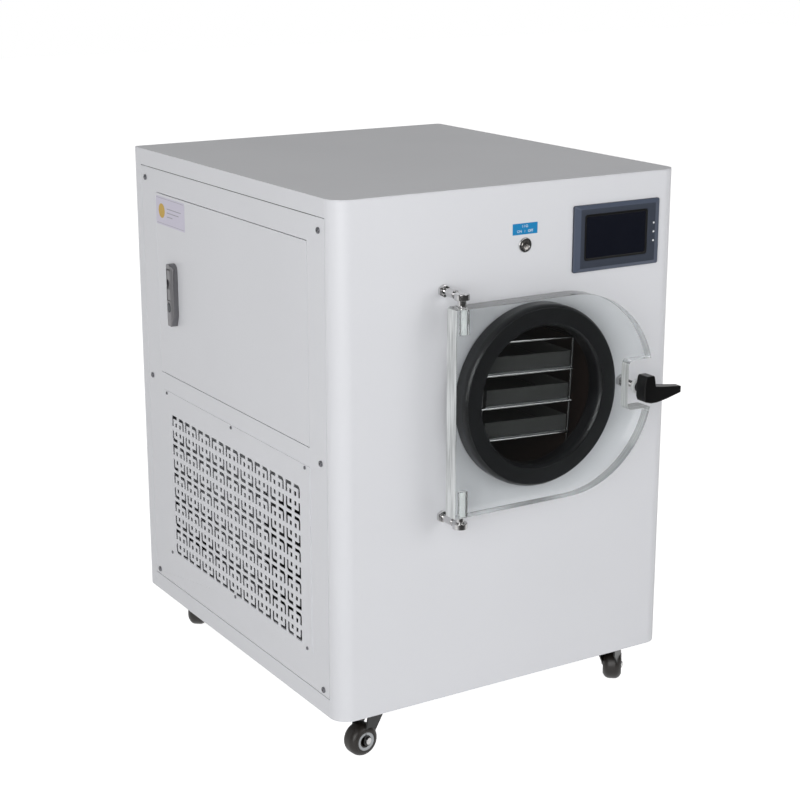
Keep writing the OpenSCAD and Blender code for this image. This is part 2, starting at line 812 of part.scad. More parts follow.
// Hinge pins: a shank in the bush, a collar and the journal in the eye
module hinge_pins() {
  color(steel) place() for (s = [-1, 1])
    translate([pin_x, -door_mid, door_z]) mirror([0, 0, s < 0 ? 1 : 0]) {
      translate([0, 0, door_r - 24]) cylinder(h = 24 + collar_h + eye_h + 0.5, d = pin_d);
      translate([0, 0, door_r]) cylinder(h = collar_h - 0.2, d = 12.5);
    }
}

// Hex nut on a bar along y, its flats upright
module hex_y(x, z, y0, y1, flats) {
  translate([x, y0, z]) rotate([-90, 0, 0]) rotate(30) cylinder(h = y1 - y0, d = flats / cos(30), $fn = 6);
}

// Nuts that hold the two hinge eyes on the front sheet
module hinge_nuts() {
  color(steel) place() for (z = eye_z) difference() {
    union() {
      hex_y(pin_x, z, -6, 0, 16);
      hex_y(pin_x, z, sheet, sheet + 6, 16);
    }
    bar_y(pin_x, z, -7, sheet + 7, pin_d);
  }
}

// Eye bolts: an eye round the pin, a thick shank and a stud through the sheet
module hinge_eyes() {
  color(steel) place() for (z = eye_z) difference() {
    union() {
      translate([pin_x, -door_mid, z - eye_h / 2]) cylinder(h = eye_h, d = eye_d);
      bar_y(pin_x, z, -door_mid + eye_d / 2 - 3, -6, eye_h - 0.5);
      bar_y(pin_x, z, -33, -15, 12.6);
      bar_y(pin_x, z, -7, sheet + 12, pin_d);
    }
    translate([pin_x, -door_mid, z - eye_h]) cylinder(h = 2 * eye_h, d = pin_d + 2 * run_gap);
  }
}

// ------------------------------------------------------------------ clamp

// Stud that stands out through the notch
module clamp_stud() {
  color(steel) place() bar_y(clamp_x, clamp_z, knob_y - knob_t + 4, 18, stud_d);
}

// Nuts on both sides of the front sheet
module clamp_nut() {
  color(zinc) place() difference() {
    union() {
      hex_y(clamp_x, clamp_z, -8, 0, 17);
      hex_y(clamp_x, clamp_z, sheet, sheet + 8, 17);
    }
    bar_y(clamp_x, clamp_z, -9, sheet + 9, stud_d);
  }
}

washer_d = 23.5;
washer_t = 8;
washer_y = knob_y + 7.5;

// Washer behind the knob, domed towards the front sheet
module clamp_washer() {
  dome = 6;
  r = washer_d / 2;
  color([0.92, 0.92, 0.92]) place() translate([clamp_x, washer_y, clamp_z]) rotate([-90, 0, 0])
    rotate_extrude() difference() {
      union() {
        square([r, washer_t - dome]);
        square([r - dome, washer_t]);
        intersection() {
          translate([r - dome, washer_t - dome]) circle(dome);
          square([r, washer_t]);
        }
      }
      translate([0, -1]) square([stud_d / 2, washer_t + 2]);
    }
}

// Front outline of the knob, round the stud: an upright block and one long arm that thins towards its tip
module knob_outline() {
  left = -11;
  right = 9;
  polygon([
    [left, -11], [left + 2.5, -17.5], [2, -20.5], [14, -20.5], [34, -18], [knob_arm, -12.5],
    [knob_arm, -2.5], [30, 1.5], [right + 1.5, 4.5], [right - 1.5, 20], [right - 3.5, 22],
    [left + 4, 22], [left + 2, 20], [left, 7]
  ]);
}

// Knob whose arm turns in front of the door plate
module clamp_knob() {
  color(plastic_black) place() translate([clamp_x, 0, clamp_z]) difference() {
    union() {
      intersection() {
        upright_xz(knob_y - knob_t, knob_t) knob_outline();
        translate([0, 0, -40]) linear_extrude(80) polygon([
          [-12, knob_y], [-12, knob_y - knob_t + 3], [-9, knob_y - knob_t], [14, knob_y - knob_t],
          [knob_arm, knob_y - knob_t + 5], [knob_arm + 1, knob_y - 3], [20, knob_y]
        ]);
      }
      bar_y(0, 0, knob_y - eps, knob_y + 7.3, 17);
    }
    bar_y(0, 0, knob_y - knob_t + 3.8, knob_y + 8, stud_d + 2 * run_gap);
  }
}

// --------------------------------------------------------- rack and trays

rack_y = 6;
rack_mid = 3;

function level_z(i) = rack_mid + ((rack_levels - 1) / 2 - i) * shelf_pitch;

// Turns the rack and its load about the chamber's axis
module in_chamber() {
  place() translate([drum_x, 0, drum_z]) rotate([0, rack_roll, 0]) children();
}

// Welded wire rack
module wire_rack() {
  half = rack_w / 2 - wire_d / 2;
  weld = wire_d / 2 + 0.6;
  top = level_z(0);
  foot = -sqrt(pow(drum_id / 2, 2) - pow(rack_w / 2, 2));
  color(steel) in_chamber() union() {
    for (i = [0:rack_levels - 1], y = [rack_y, rack_y + rack_d])
      bar_x(y, level_z(i), -half - wire_d / 2, half + wire_d / 2, wire_d);
    for (i = [0:rack_levels - 1], s = [-1, 1])
      bar_y(s * half, level_z(i), rack_y, rack_y + rack_d, wire_d);
    for (s = [-1, 1], y = [rack_y + weld, rack_y + rack_d - weld])
      translate([s * half, y, foot]) cylinder(h = top + 4 - foot, d = wire_d);
  }
}

shelf_t = 2;

// Heated shelf plates that lie on the rack's wires
module shelf_plates() {
  color([0.66, 0.67, 0.68]) in_chamber() for (i = [1:rack_levels - 1])
    span([-tray_w / 2 - 1, rack_y - wire_d / 2, level_z(i) + wire_d / 2],
         [tray_w / 2 + 1, rack_y + rack_d + wire_d / 2, level_z(i) + wire_d / 2 + shelf_t]);
}

// Tray on shelf i, counted from the top
module tray(i) {
  z = level_z(i) + wire_d / 2 + shelf_t;
  color([0.30, 0.31, 0.31]) in_chamber() difference() {
    span([-tray_w / 2, rack_y - 1, z], [tray_w / 2, rack_y + rack_d - 6, z + tray_h]);
    span([-tray_w / 2 + tray_wall, rack_y - 1 + tray_wall, z + tray_wall],
         [tray_w / 2 - tray_wall, rack_y + rack_d - 6 - tray_wall, z + tray_h + 1]);
  }
}

// ------------------------------------------------- refrigeration and power

comp_d = 150;
comp_h = 190;
comp_x = -110;
comp_y = 430;

// Hermetic compressor: a domed shell on a foot plate, with its suction and discharge stubs
module compressor() {
  r = comp_d / 2;
  dome = 40;
  color(plastic_black) place() translate([comp_x, comp_y, pan_t]) union() {
    translate([-r, -r, 0]) cube([comp_d, comp_d, 4]);
    for (x = [-1, 1], y = [-1, 1]) translate([x * (r - 16), y * (r - 16), 0]) cylinder(h = 16, d = 24);
    cylinder(h = 20, r = r - dome);
    translate([0, 0, 12]) rotate_extrude($fn = 72) {
      translate([0, dome]) square([r, comp_h - 2 * dome - 12]);
      for (z = [dome, comp_h - dome - 12]) intersection() {
        translate([0, z]) union() {
          square([r - dome, 2 * dome], center = false);
          translate([0, -dome]) square([r - dome, 2 * dome]);
          translate([r - dome, 0]) circle(dome);
        }
        square([r, comp_h - 12]);
      }
    }
    translate([r - 30, 0, comp_h - 24]) cylinder(h = 40, d = 10);
    translate([0, r - 30, comp_h - 24]) cylinder(h = 34, d = 12);
  }
}

cond_y = [mid_y() - 150, mid_y() + 150];
cond_x = half_w - 75;
cond_h = 260;
fan_d = 220;
fan_z = pan_t + cond_h / 2;

// Finned condenser block with its end plates
module condenser() {
  fins = 36;
  pitch = (cond_y[1] - cond_y[0] - 4) / fins;
  color([0.75, 0.76, 0.77]) place() difference() {
    span([cond_x, cond_y[0], pan_t], [cond_x + 40, cond_y[1], pan_t + cond_h]);
    for (i = [0:fins - 1]) {
      y = cond_y[0] + 2 + i * pitch;
      span([cond_x - 1, y + 1, pan_t + 8], [cond_x + 14, y + pitch - 1, pan_t + cond_h - 8]);
      span([cond_x + 26, y + 1, pan_t + 8], [cond_x + 41, y + pitch - 1, pan_t + cond_h - 8]);
    }
  }
}

fan_x = cond_x - 40;

// Shroud, its motor arms and the motor
module fan_shroud() {
  color(plastic_black) place() union() {
    difference() {
      span([fan_x, cond_y[0], pan_t], [cond_x, cond_y[1], pan_t + cond_h]);
      span([fan_x + 3, cond_y[0] + 3, pan_t + 3], [cond_x + 1, cond_y[1] - 3, pan_t + cond_h - 3]);
      bar_x(mid_y(), fan_z, fan_x - 1, fan_x + 4, fan_d + 12);
    }
    for (s = [-1, 1]) span([fan_x - 6, mid_y() + (s < 0 ? -fan_d / 2 - 16 : 30), fan_z - 6],
                           [fan_x, mid_y() + (s < 0 ? -30 : fan_d / 2 + 16), fan_z + 6]);
    bar_x(mid_y(), fan_z, fan_x - 52, fan_x, 70);
    bar_x(mid_y(), fan_z, fan_x - eps, fan_x + 24, 8);
  }
}

// Five-blade rotor on the motor's shaft
module fan_rotor() {
  color([0.25, 0.26, 0.28]) place() translate([fan_x + 4, mid_y(), fan_z]) difference() {
    union() {
      rotate([0, 90, 0]) cylinder(h = 24, d = 60);
      for (i = [0:4]) rotate([72 * i, 0, 0]) translate([12, 0, 26]) rotate([0, 0, 28])
        translate([-1, -24, 0]) cube([2, 48, fan_d / 2 - 26]);
    }
    rotate([0, 90, 0]) translate([0, 0, -1]) cylinder(h = 22, r = 4 + run_gap);
  }
}

// Mounting plate with the contactor, the power supply, the relay and the terminal rail
module control_board() {
  x = -half_w + 110;
  y0 = tube_y[0] + 75;
  color([0.70, 0.71, 0.70]) place() union() {
    span([x, y0, deck_z], [x + 2, y0 + 380, deck_z + 360]);
    span([x - 20, y0, deck_z], [x, y0 + 380, deck_z + 2]);
    span([x - 8, y0 + 20, deck_z + 210], [x, y0 + 360, deck_z + 245]);
    span([x - 80, y0 + 30, deck_z + 190], [x - 8, y0 + 76, deck_z + 265]);
    span([x - 70, y0 + 86, deck_z + 200], [x - 8, y0 + 122, deck_z + 290]);
    span([x - 55, y0 + 140, deck_z + 205], [x - 8, y0 + 330, deck_z + 255]);
    span([x - 50, y0 + 40, deck_z + 60], [x, y0 + 200, deck_z + 160]);
    span([x - 75, y0 + 240, deck_z + 50], [x, y0 + 340, deck_z + 130]);
  }
}

// ---------------------------------------------------------- rear services

// Vacuum pipe from the drum's back to its flange behind the cabinet
module vacuum_port() {
  r = port_id / 2;
  length = cab_d + port_out - drum_back;
  color(steel) place() translate([drum_x, drum_back, port_z]) rotate([-90, 0, 0]) rotate_extrude()
    difference() {
      union() {
        translate([r, 0]) square([1.5, length - 2]);
        polygon([[r, length - 7], [r + 2, length - 7], [20, length - 3], [20, length], [r, length]]);
      }
      translate([0, length - 3]) square([r + 0.6, 4]);
    }
}

spigot_len = 25;

// Drain pipe from the drum's lowest point, with a hose spigot behind the cabinet
module drain_spigot() {
  r = drain_d / 2;
  length = cab_d + 3 - drum_back;
  color(steel) place() translate([drum_x, drum_back, drain_z]) rotate([-90, 0, 0]) rotate_extrude()
    translate([r - 2.5, 0]) union() {
      square([2.5, length]);
      square([1.5, length + spigot_len]);
    }
}

inlet_x = -half_w + 90;
inlet_z = 60;

// Opening for the power inlet, grown by d
module inlet_cut(d) {
  translate([inlet_x - 14 - d, inlet_z - 10.5 - d]) square([28 + 2 * d, 21 + 2 * d]);
}

// Three-pin power inlet with its flange
module power_inlet() {
  color(plastic_black) place() union() {
    difference() {
      union() {
        upright_xz(cab_d, 3) translate([inlet_x - 25, inlet_z - 14]) rounded_rect([50, 28], 4);
        upright_xz(cab_d - 24, 25) inlet_cut(0);
      }
      upright_xz(cab_d - 14, 18) translate([inlet_x - 12, inlet_z - 8]) rounded_rect([24, 16], 2);
    }
    for (p = [[-7, -2], [0, 2], [7, -2]])
      span([inlet_x + p[0] - 1, cab_d - 14 - eps, inlet_z + p[1] - 2],
           [inlet_x + p[0] + 1, cab_d + 1, inlet_z + p[1] + 2]);
  }
}

// ---------------------------------------------------------------- casters

// Swivel axis of caster n: front left, front right, rear left, rear right
function caster_at(n) = [n % 2 == 1 ? -caster_x : caster_x, caster_y[n <= 2 ? 0 : 1]];

// Puts a caster drawn round its swivel axis, with the floor at z = 0, under the cabinet
module at_caster(n) {
  p = caster_at(n);
  translate([cab_x + p[0], cab_y + p[1], 0]) rotate(caster_turns[n - 1]) children();
}

axle_d = 6;
leg_t = 2.5;
leg_y = wheel_w / 2 + 1.2;
plate_t = 2.5;
cup_t = 3;
kingpin_d = 8;
crown_z = caster_h - plate_t - cup_t - 0.3;

// Fixed top plates with the bearing cups that the forks turn in
module caster_plates() {
  cup_z = caster_h - plate_t - cup_t;
  color(plastic_black) for (n = [1:4])
    translate([cab_x + caster_at(n)[0], cab_y + caster_at(n)[1], 0]) difference() {
      union() {
        translate([-29, -25, caster_h - plate_t]) linear_extrude(plate_t) rounded_rect([58, 50], 5);
        translate([0, 0, cup_z]) cylinder(h = cup_t + 1, d = 38);
      }
      translate([0, 0, cup_z - 1]) cylinder(h = plate_t + cup_t + 2, d = kingpin_d + 2 * run_gap);
    }
}

// Side outline of a fork's leg: wide at the crown and narrow at the axle
module leg_outline() {
  axle_z = wheel_d / 2;
  polygon([[-17, crown_z], [17, crown_z], [caster_trail + 8, axle_z], [caster_trail - 7, axle_z - 4],
           [-17, crown_z - 12]]);
  translate([caster_trail, axle_z]) circle(8);
}

// Fork: a crown with its kingpin and two tapered legs
module caster_fork(n) {
  color(plastic_black) at_caster(n) difference() {
    union() {
      translate([0, 0, crown_z - 3]) cylinder(h = 3, d = 38);
      translate([-17, -leg_y - leg_t, crown_z - 3]) cube([34, 2 * (leg_y + leg_t), 3]);
      translate([0, 0, crown_z - 1]) cylinder(h = caster_h - crown_z + 0.5, d = kingpin_d);
      for (s = [-1, 1]) upright_xz(s < 0 ? -leg_y - leg_t : leg_y, leg_t) leg_outline();
    }
    bar_y(caster_trail, wheel_d / 2, -leg_y - leg_t - 1, leg_y + leg_t + 1, axle_d);
    bar_y(caster_trail, wheel_d / 2, -wheel_w / 2, wheel_w / 2, wheel_d + 5);
  }
}

// Axle with its head and nut
module caster_axle(n) {
  color(steel) at_caster(n) translate([caster_trail, 0, wheel_d / 2]) rotate([90, 0, 0]) union() {
    cylinder(h = 2 * (leg_y + leg_t) + 6, d = axle_d, center = true);
    for (s = [-1, 1]) translate([0, 0, s < 0 ? -leg_y - leg_t - 3 : leg_y + leg_t]) cylinder(h = 3, d = 11);
  }
}

// Wheel: a tyre with round shoulders on a hub with a shallow ring
module caster_wheel(n) {
  r = wheel_d / 2;
  h = wheel_w / 2;
  shoulder = 7.5;
  bore = axle_d / 2 + run_gap;
  color([0.16, 0.15, 0.14]) at_caster(n) translate([caster_trail, 0, r]) rotate([90, 0, 0])
    rotate_extrude($fn = 72) difference() {
      union() {
        translate([bore, -h]) square([r - shoulder - bore, 2 * h]);
        translate([bore, -h + shoulder]) square([r - bore, 2 * (h - shoulder)]);
        for (s = [-1, 1]) translate([r - shoulder, s * (h - shoulder)]) circle(shoulder);
      }
      for (s = [-1, 1]) translate([8, s < 0 ? -h - 1 : h - 1]) square([8, 2]);
    }
}

base_pan();
front_panel();
top_panel();
rear_panel();
left_panel();
right_panel();
left_vent();
right_vent();
inner_frame();
panel_screws();
vent_screws();
service_door();
service_hinge_pins();
lock_body();
lock_paddle();
lock_button();
screen_frame();
screen_glass();
status_lights();
button_ring();
button_cap();
chamber_drum();
cooling_coil();
gasket();
door_plate();
hinge_nuts();
hinge_eyes();
hinge_pins();
hinge_bushes();
clamp_stud();
clamp_nut();
clamp_washer();
clamp_knob();
wire_rack();
shelf_plates();
tray(1);  // tray_1
tray(2);  // tray_2
tray(3);  // tray_3
compressor();
condenser();
fan_shroud();
fan_rotor();
control_board();
vacuum_port();
drain_spigot();
power_inlet();
caster_plates();
caster_fork(1);  // caster_1_fork
caster_axle(1);  // caster_1_axle
caster_wheel(1);  // caster_1_wheel
caster_fork(2);  // caster_2_fork
caster_axle(2);  // caster_2_axle
caster_wheel(2);  // caster_2_wheel
caster_fork(3);  // caster_3_fork
caster_axle(3);  // caster_3_axle
caster_wheel(3);  // caster_3_wheel
caster_fork(4);  // caster_4_fork
caster_axle(4);  // caster_4_axle
caster_wheel(4);  // caster_4_wheel
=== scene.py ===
import json
import math

import bmesh
import bpy
from bpy.props import FloatProperty, FloatVectorProperty, PointerProperty, StringProperty
from mathutils import Matrix, Vector


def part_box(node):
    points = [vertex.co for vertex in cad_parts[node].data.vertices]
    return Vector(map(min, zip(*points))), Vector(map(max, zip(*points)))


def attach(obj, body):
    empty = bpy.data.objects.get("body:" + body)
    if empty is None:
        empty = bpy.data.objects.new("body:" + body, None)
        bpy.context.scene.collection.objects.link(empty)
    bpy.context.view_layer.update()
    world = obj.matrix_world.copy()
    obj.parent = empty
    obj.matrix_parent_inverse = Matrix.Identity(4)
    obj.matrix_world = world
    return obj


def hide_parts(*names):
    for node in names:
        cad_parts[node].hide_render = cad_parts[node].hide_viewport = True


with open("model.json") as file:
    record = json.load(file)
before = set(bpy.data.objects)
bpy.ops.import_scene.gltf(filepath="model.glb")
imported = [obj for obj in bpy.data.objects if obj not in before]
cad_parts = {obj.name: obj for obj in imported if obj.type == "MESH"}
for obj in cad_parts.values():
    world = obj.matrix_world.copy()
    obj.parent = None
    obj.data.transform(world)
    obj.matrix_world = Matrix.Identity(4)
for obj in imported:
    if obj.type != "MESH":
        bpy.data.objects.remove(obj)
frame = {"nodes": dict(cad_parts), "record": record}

bl_info = {
    "name": "Freeze Dryer Finishes",
    "version": (1, 0, 0),
    "blender": (4, 5, 0),
    "location": "View3D > Sidebar > Freeze Dryer",
    "description": "Gives a floor-standing freeze dryer its finishes, its fine fittings and a studio stage",
    "category": "Object",
}

MM = 0.001
WELD_GAP = 0.002 * MM
FLAT_ANGLE = math.radians(0.4)
ROUNDED_ANGLE = math.radians(35)
WHITE = (1, 1, 1, 1)
NODES = frame["nodes"]
BODIES = frame["record"]["behaviour"]["bodies"]
SLOTS = {row["node"]: row["material_slot"] for row in frame["record"]["subparts"]}
X_AXIS, Y_AXIS, Z_AXIS = Vector((1, 0, 0)), Vector((0, 1, 0)), Vector((0, 0, 1))
LEFT, FRONT = -X_AXIS, -Y_AXIS
LENGTH = {"subtype": "DISTANCE", "unit": "LENGTH"}
COLOUR = {"subtype": "COLOR", "size": 4, "min": 0, "max": 1}
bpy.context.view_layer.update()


# ---- measures

def low(node):
    """Lowest corner of a CAD node's box."""
    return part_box(node)[0]


def high(node):
    """Highest corner of a CAD node's box."""
    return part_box(node)[1]


def middle(node):
    """Middle of a CAD node's box."""
    lo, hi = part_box(node)
    return (lo + hi) / 2


def moved_middle(box, y):
    """Middle of a box, moved along Y to a distance."""
    mid = (box[0] + box[1]) / 2
    return Vector((mid.x, y, mid.z))


def body_of(node):
    """Name of the body that carries a CAD node."""
    return next(body for body, members in BODIES.items() if node in members)


def solids(node):
    """Boxes (low, high) of a CAD node's separate solids, found through its connected faces."""
    bm = welded(node)
    unseen, boxes = set(bm.verts), []
    while unseen:
        stack, group = [unseen.pop()], []
        while stack:
            vert = stack.pop()
            group.append(vert.co.copy())
            for edge in vert.link_edges:
                other = edge.other_vert(vert)
                if other in unseen:
                    unseen.remove(other)
                    stack.append(other)
        boxes.append((Vector(map(min, zip(*group))), Vector(map(max, zip(*group)))))
    bm.free()
    return sorted(boxes, key=lambda box: tuple(round(c, 5) for c in box[0]))


# ---- materials

def linear(colour):
    """Scene-linear colour from an sRGB hex value such as 0xD8D9DC."""
    channels = [(colour >> shift & 255) / 255 for shift in (16, 8, 0)]
    return [c / 12.92 if c <= 0.04045 else ((c + 0.055) / 1.055) ** 2.4 for c in channels] + [1.0]


def shade(colour, factor):
    """A darker or lighter tone of a linear colour."""
    return [min(c * factor, 1.0) for c in colour[:3]] + [1.0]


def add_node(tree, kind, inputs=None, **settings):
    """Adds a shader node of a kind, sets its properties, and sets or links its inputs."""
    made = tree.nodes.new("ShaderNode" + kind)
    for name, value in settings.items():
        setattr(made, name, value)
    for socket, value in (inputs or {}).items():
        if isinstance(value, bpy.types.NodeSocket):
            tree.links.new(value, made.inputs[socket])
        else:
            made.inputs[socket].default_value = value
    return made


def noise(tree, place, size_mm, detail=2.0):
    """Soft noise whose blobs are about size_mm across."""
    inputs = {"Vector": place, "Scale": 1 / (size_mm * MM), "Detail": detail}
    return add_node(tree, "TexNoise", inputs).outputs["Fac"]


def empty_tree(owner):
    """The node tree of a material or a world, switched on and emptied."""
    owner.use_nodes = True
    owner.node_tree.nodes.clear()
    return owner.node_tree


def start_material(name):
    """A new material with its tree, its surface shader and its object coordinates."""
    material = bpy.data.materials.new(name)
    tree = empty_tree(material)
    shader = add_node(tree, "BsdfPrincipled")
    add_node(tree, "OutputMaterial", {"Surface": shader.outputs[0]})
    place = add_node(tree, "TexCoord").outputs["Object"]
    return material, tree, shader, place


def tint(tree, shader, factor, first, second):
    """Runs the base colour from first to second with factor."""
    mix = add_node(tree, "Mix", {"Factor": factor}, data_type="RGBA")
    mix.inputs["A"].default_value = first
    mix.inputs["B"].default_value = second
    tree.links.new(mix.outputs["Result"], shader.inputs["Base Color"])


def vary_roughness(tree, shader, factor, smooth, rough):
    """Runs the roughness from smooth to rough with factor."""
    spread = add_node(tree, "MapRange", {"Value": factor, "To Min": smooth, "To Max": rough})
    tree.links.new(spread.outputs[0], shader.inputs["Roughness"])


def bump(tree, shader, height, depth_mm, strength=0.5):
    """Raises the surface by a pattern of that depth."""
    inputs = {"Height": height, "Distance": depth_mm * MM, "Strength": strength}
    relief = add_node(tree, "Bump", inputs)
    tree.links.new(relief.outputs[0], shader.inputs["Normal"])


def coat(name, colour, patches, factor, roughness, values, grain=None):
    """A material whose tone drifts to factor times its colour, and its roughness with it.

    patches holds the noise's size in millimetres and its detail; grain adds its depth and its strength.
    """
    material, tree, shader, place = start_material(name)
    drift = noise(tree, place, *patches)
    tint(tree, shader, drift, colour, shade(colour, factor))
    vary_roughness(tree, shader, drift, *roughness)
    for socket, value in values.items():
        shader.inputs[socket].default_value = value
    if grain:
        size_mm, detail, depth_mm, strength = grain
        bump(tree, shader, noise(tree, place, size_mm, detail), depth_mm, strength)
    return material


def node_of(material, kind):
    """The one node of a kind in a material's tree."""
    return next(node for node in material.node_tree.nodes if node.type == kind)


def powder_coat(name, colour):
    """Polyester powder coat on folded sheet: a satin skin, faint orange peel and a slow drift of tone."""
    return coat(name, colour, (240, 3), 0.96, (0.32, 0.42), {"IOR": 1.5}, (2.5, 2, 0.02, 0.5))


def bright_plate(name, colour, roughness):
    """Nickel or chrome plate over turned steel: a clear mirror, dulled in patches by handling."""
    dulled = (roughness * 0.6, roughness * 1.5)
    return coat(name, colour, (9, 3), 0.85, dulled, {"Metallic": 1.0}, (0.6, 4, 0.01, 0.35))


def turned_steel(name, colour):
    """Plated steel faced on a lathe: its round tool marks spread each light into a bright fan."""
    material = coat(name, colour, (5, 3), 0.8, (0.2, 0.3), {"Metallic": 1.0, "Anisotropic": 0.85})
    tree = material.node_tree
    around = add_node(tree, "Tangent", direction_type="RADIAL", axis="Y")
    tree.links.new(around.outputs[0], node_of(material, "BSDF_PRINCIPLED").inputs["Tangent"])
    return material


def die_cast(name, colour, roughness):
    """Die-cast zinc with a satin plate: soft sheen over a faintly pebbled skin."""
    sheen = (roughness * 0.9, roughness * 1.2)
    return coat(name, colour, (20, 2), 0.88, sheen, {"Metallic": 1.0}, (1.2, 3, 0.02, 0.4))


def rolled_sheet(name, colour, roughness, along):
    """Rolled sheet metal: fine drawn lines that run along one axis and break up the sheen."""
    material, tree, shader, place = start_material(name)
    line_mm, run_mm = 1.2, 80
    stretch = [1 / (line_mm * MM)] * 3
    stretch[along] = 1 / (run_mm * MM)
    lines = add_node(tree, "Mapping", {"Vector": place, "Scale": stretch})
    grain = add_node(tree, "TexNoise", {"Vector": lines.outputs[0], "Scale": 1.0}).outputs["Fac"]
    tint(tree, shader, grain, colour, shade(colour, 0.9))
    vary_roughness(tree, shader, grain, roughness * 0.8, roughness * 1.25)
    shader.inputs["Metallic"].default_value = 1.0
    bump(tree, shader, grain, 0.008, 0.3)
    return material


def moulded_rubber(name, colour, roughness):
    """Moulded rubber: a deep tone with a soft sheen and a dusty bloom in patches."""
    bloom = (roughness, roughness * 1.35)
    return coat(name, colour, (35, 4), 1.4, bloom, {"IOR": 1.52}, (0.8, 2, 0.02, 0.4))


def moulded_plastic(name, colour, roughness, ior=1.54, grain_mm=0.6):
    """Injection-moulded plastic: an even tone with the fine grain of a spark-eroded mould."""
    sheen = (roughness * 0.9, roughness * 1.15)
    return coat(name, colour, (30, 2), 0.93, sheen, {"IOR": ior}, (grain_mm, 2, 0.02, 0.4))


def pass_lamps(material, share):
    """Lets a share of the light from lamps straight through a surface, so that what is behind it is lit."""
    tree = material.node_tree
    shader, output = node_of(material, "BSDF_PRINCIPLED"), node_of(material, "OUTPUT_MATERIAL")
    ahead = add_node(tree, "BsdfTransparent", {"Color": (share, share, share, 1)})
    path = add_node(tree, "LightPath")
    inputs = {0: path.outputs["Is Shadow Ray"], 1: shader.outputs[0], 2: ahead.outputs[0]}
    mix = add_node(tree, "MixShader", inputs)
    tree.links.new(mix.outputs[0], output.inputs["Surface"])


def cast_acrylic(name, colour):
    """Cast acrylic with polished faces: clear as glass, with a faint cool tint through its depth."""
    clear = {"IOR": 1.49, "Transmission Weight": 1.0}
    material = coat(name, colour, (25, 2), 0.995, (0.0, 0.02), clear)
    pass_lamps(material, 0.97)
    return material


def acrylic_edge(name, colour, roughness, clearness):
    """Worked edge of thick acrylic: a milky glow crossed by long grey streaks from the saw and the flame."""
    material, tree, shader, place = start_material(name)
    run_mm, streak_mm = 62.5, 3.03
    stretch = (1 / (run_mm * MM), 1 / (streak_mm * MM), 1 / (run_mm * MM))
    drawn = add_node(tree, "Mapping", {"Vector": place, "Scale": stretch})
    pattern = add_node(tree, "TexNoise", {"Vector": drawn.outputs[0], "Scale": 1.0, "Detail": 3.0})
    streaks = pattern.outputs["Fac"]
    spread = add_node(tree, "MapRange", {"Value": streaks, "From Min": 0.36, "From Max": 0.62})
    tint(tree, shader, spread.outputs[0], shade(colour, 0.6), colour)
    vary_roughness(tree, shader, streaks, roughness * 0.8, roughness * 1.2)
    shader.inputs["IOR"].default_value = 1.49
    shader.inputs["Transmission Weight"].default_value = clearness
    pass_lamps(material, 0.6)
    return material


def touch_glass(name, colour):
    """Hard-coated touch glass over a dark screen: black and glossy, with faint smears."""
    return coat(name, colour, (45, 3), 1.15, (0.12, 0.26), {"IOR": 1.52})


def drawn_copper(name, colour):
    """Drawn refrigeration copper, dulled to brown in patches."""
    return coat(name, colour, (25, 4), 0.6, (0.28, 0.42), {"Metallic": 1.0})


def printed_film(name, colour):
    """Printed polyester film: flat ink under a thin satin skin."""
    return coat(name, colour, (3, 2), 0.96, (0.3, 0.38), {"IOR": 1.5})


def baked_coat(name, colour, roughness):
    """PTFE-filled bake-on coat: dark, slippery and softly glossy, with a fine sprayed stipple. On the drum
    its dark brown tone is painted shade of the closed chamber and a painted brown reflection.
    """
    material, tree, shader, place = start_material(name)
    stipple = noise(tree, place, 1.5, 3.0)
    tint(tree, shader, noise(tree, place, 60), colour, shade(colour, 1.25))
    vary_roughness(tree, shader, stipple, roughness * 0.85, roughness * 1.2)
    shader.inputs["IOR"].default_value = 1.42
    bump(tree, shader, stipple, 0.015, 0.3)
    return material


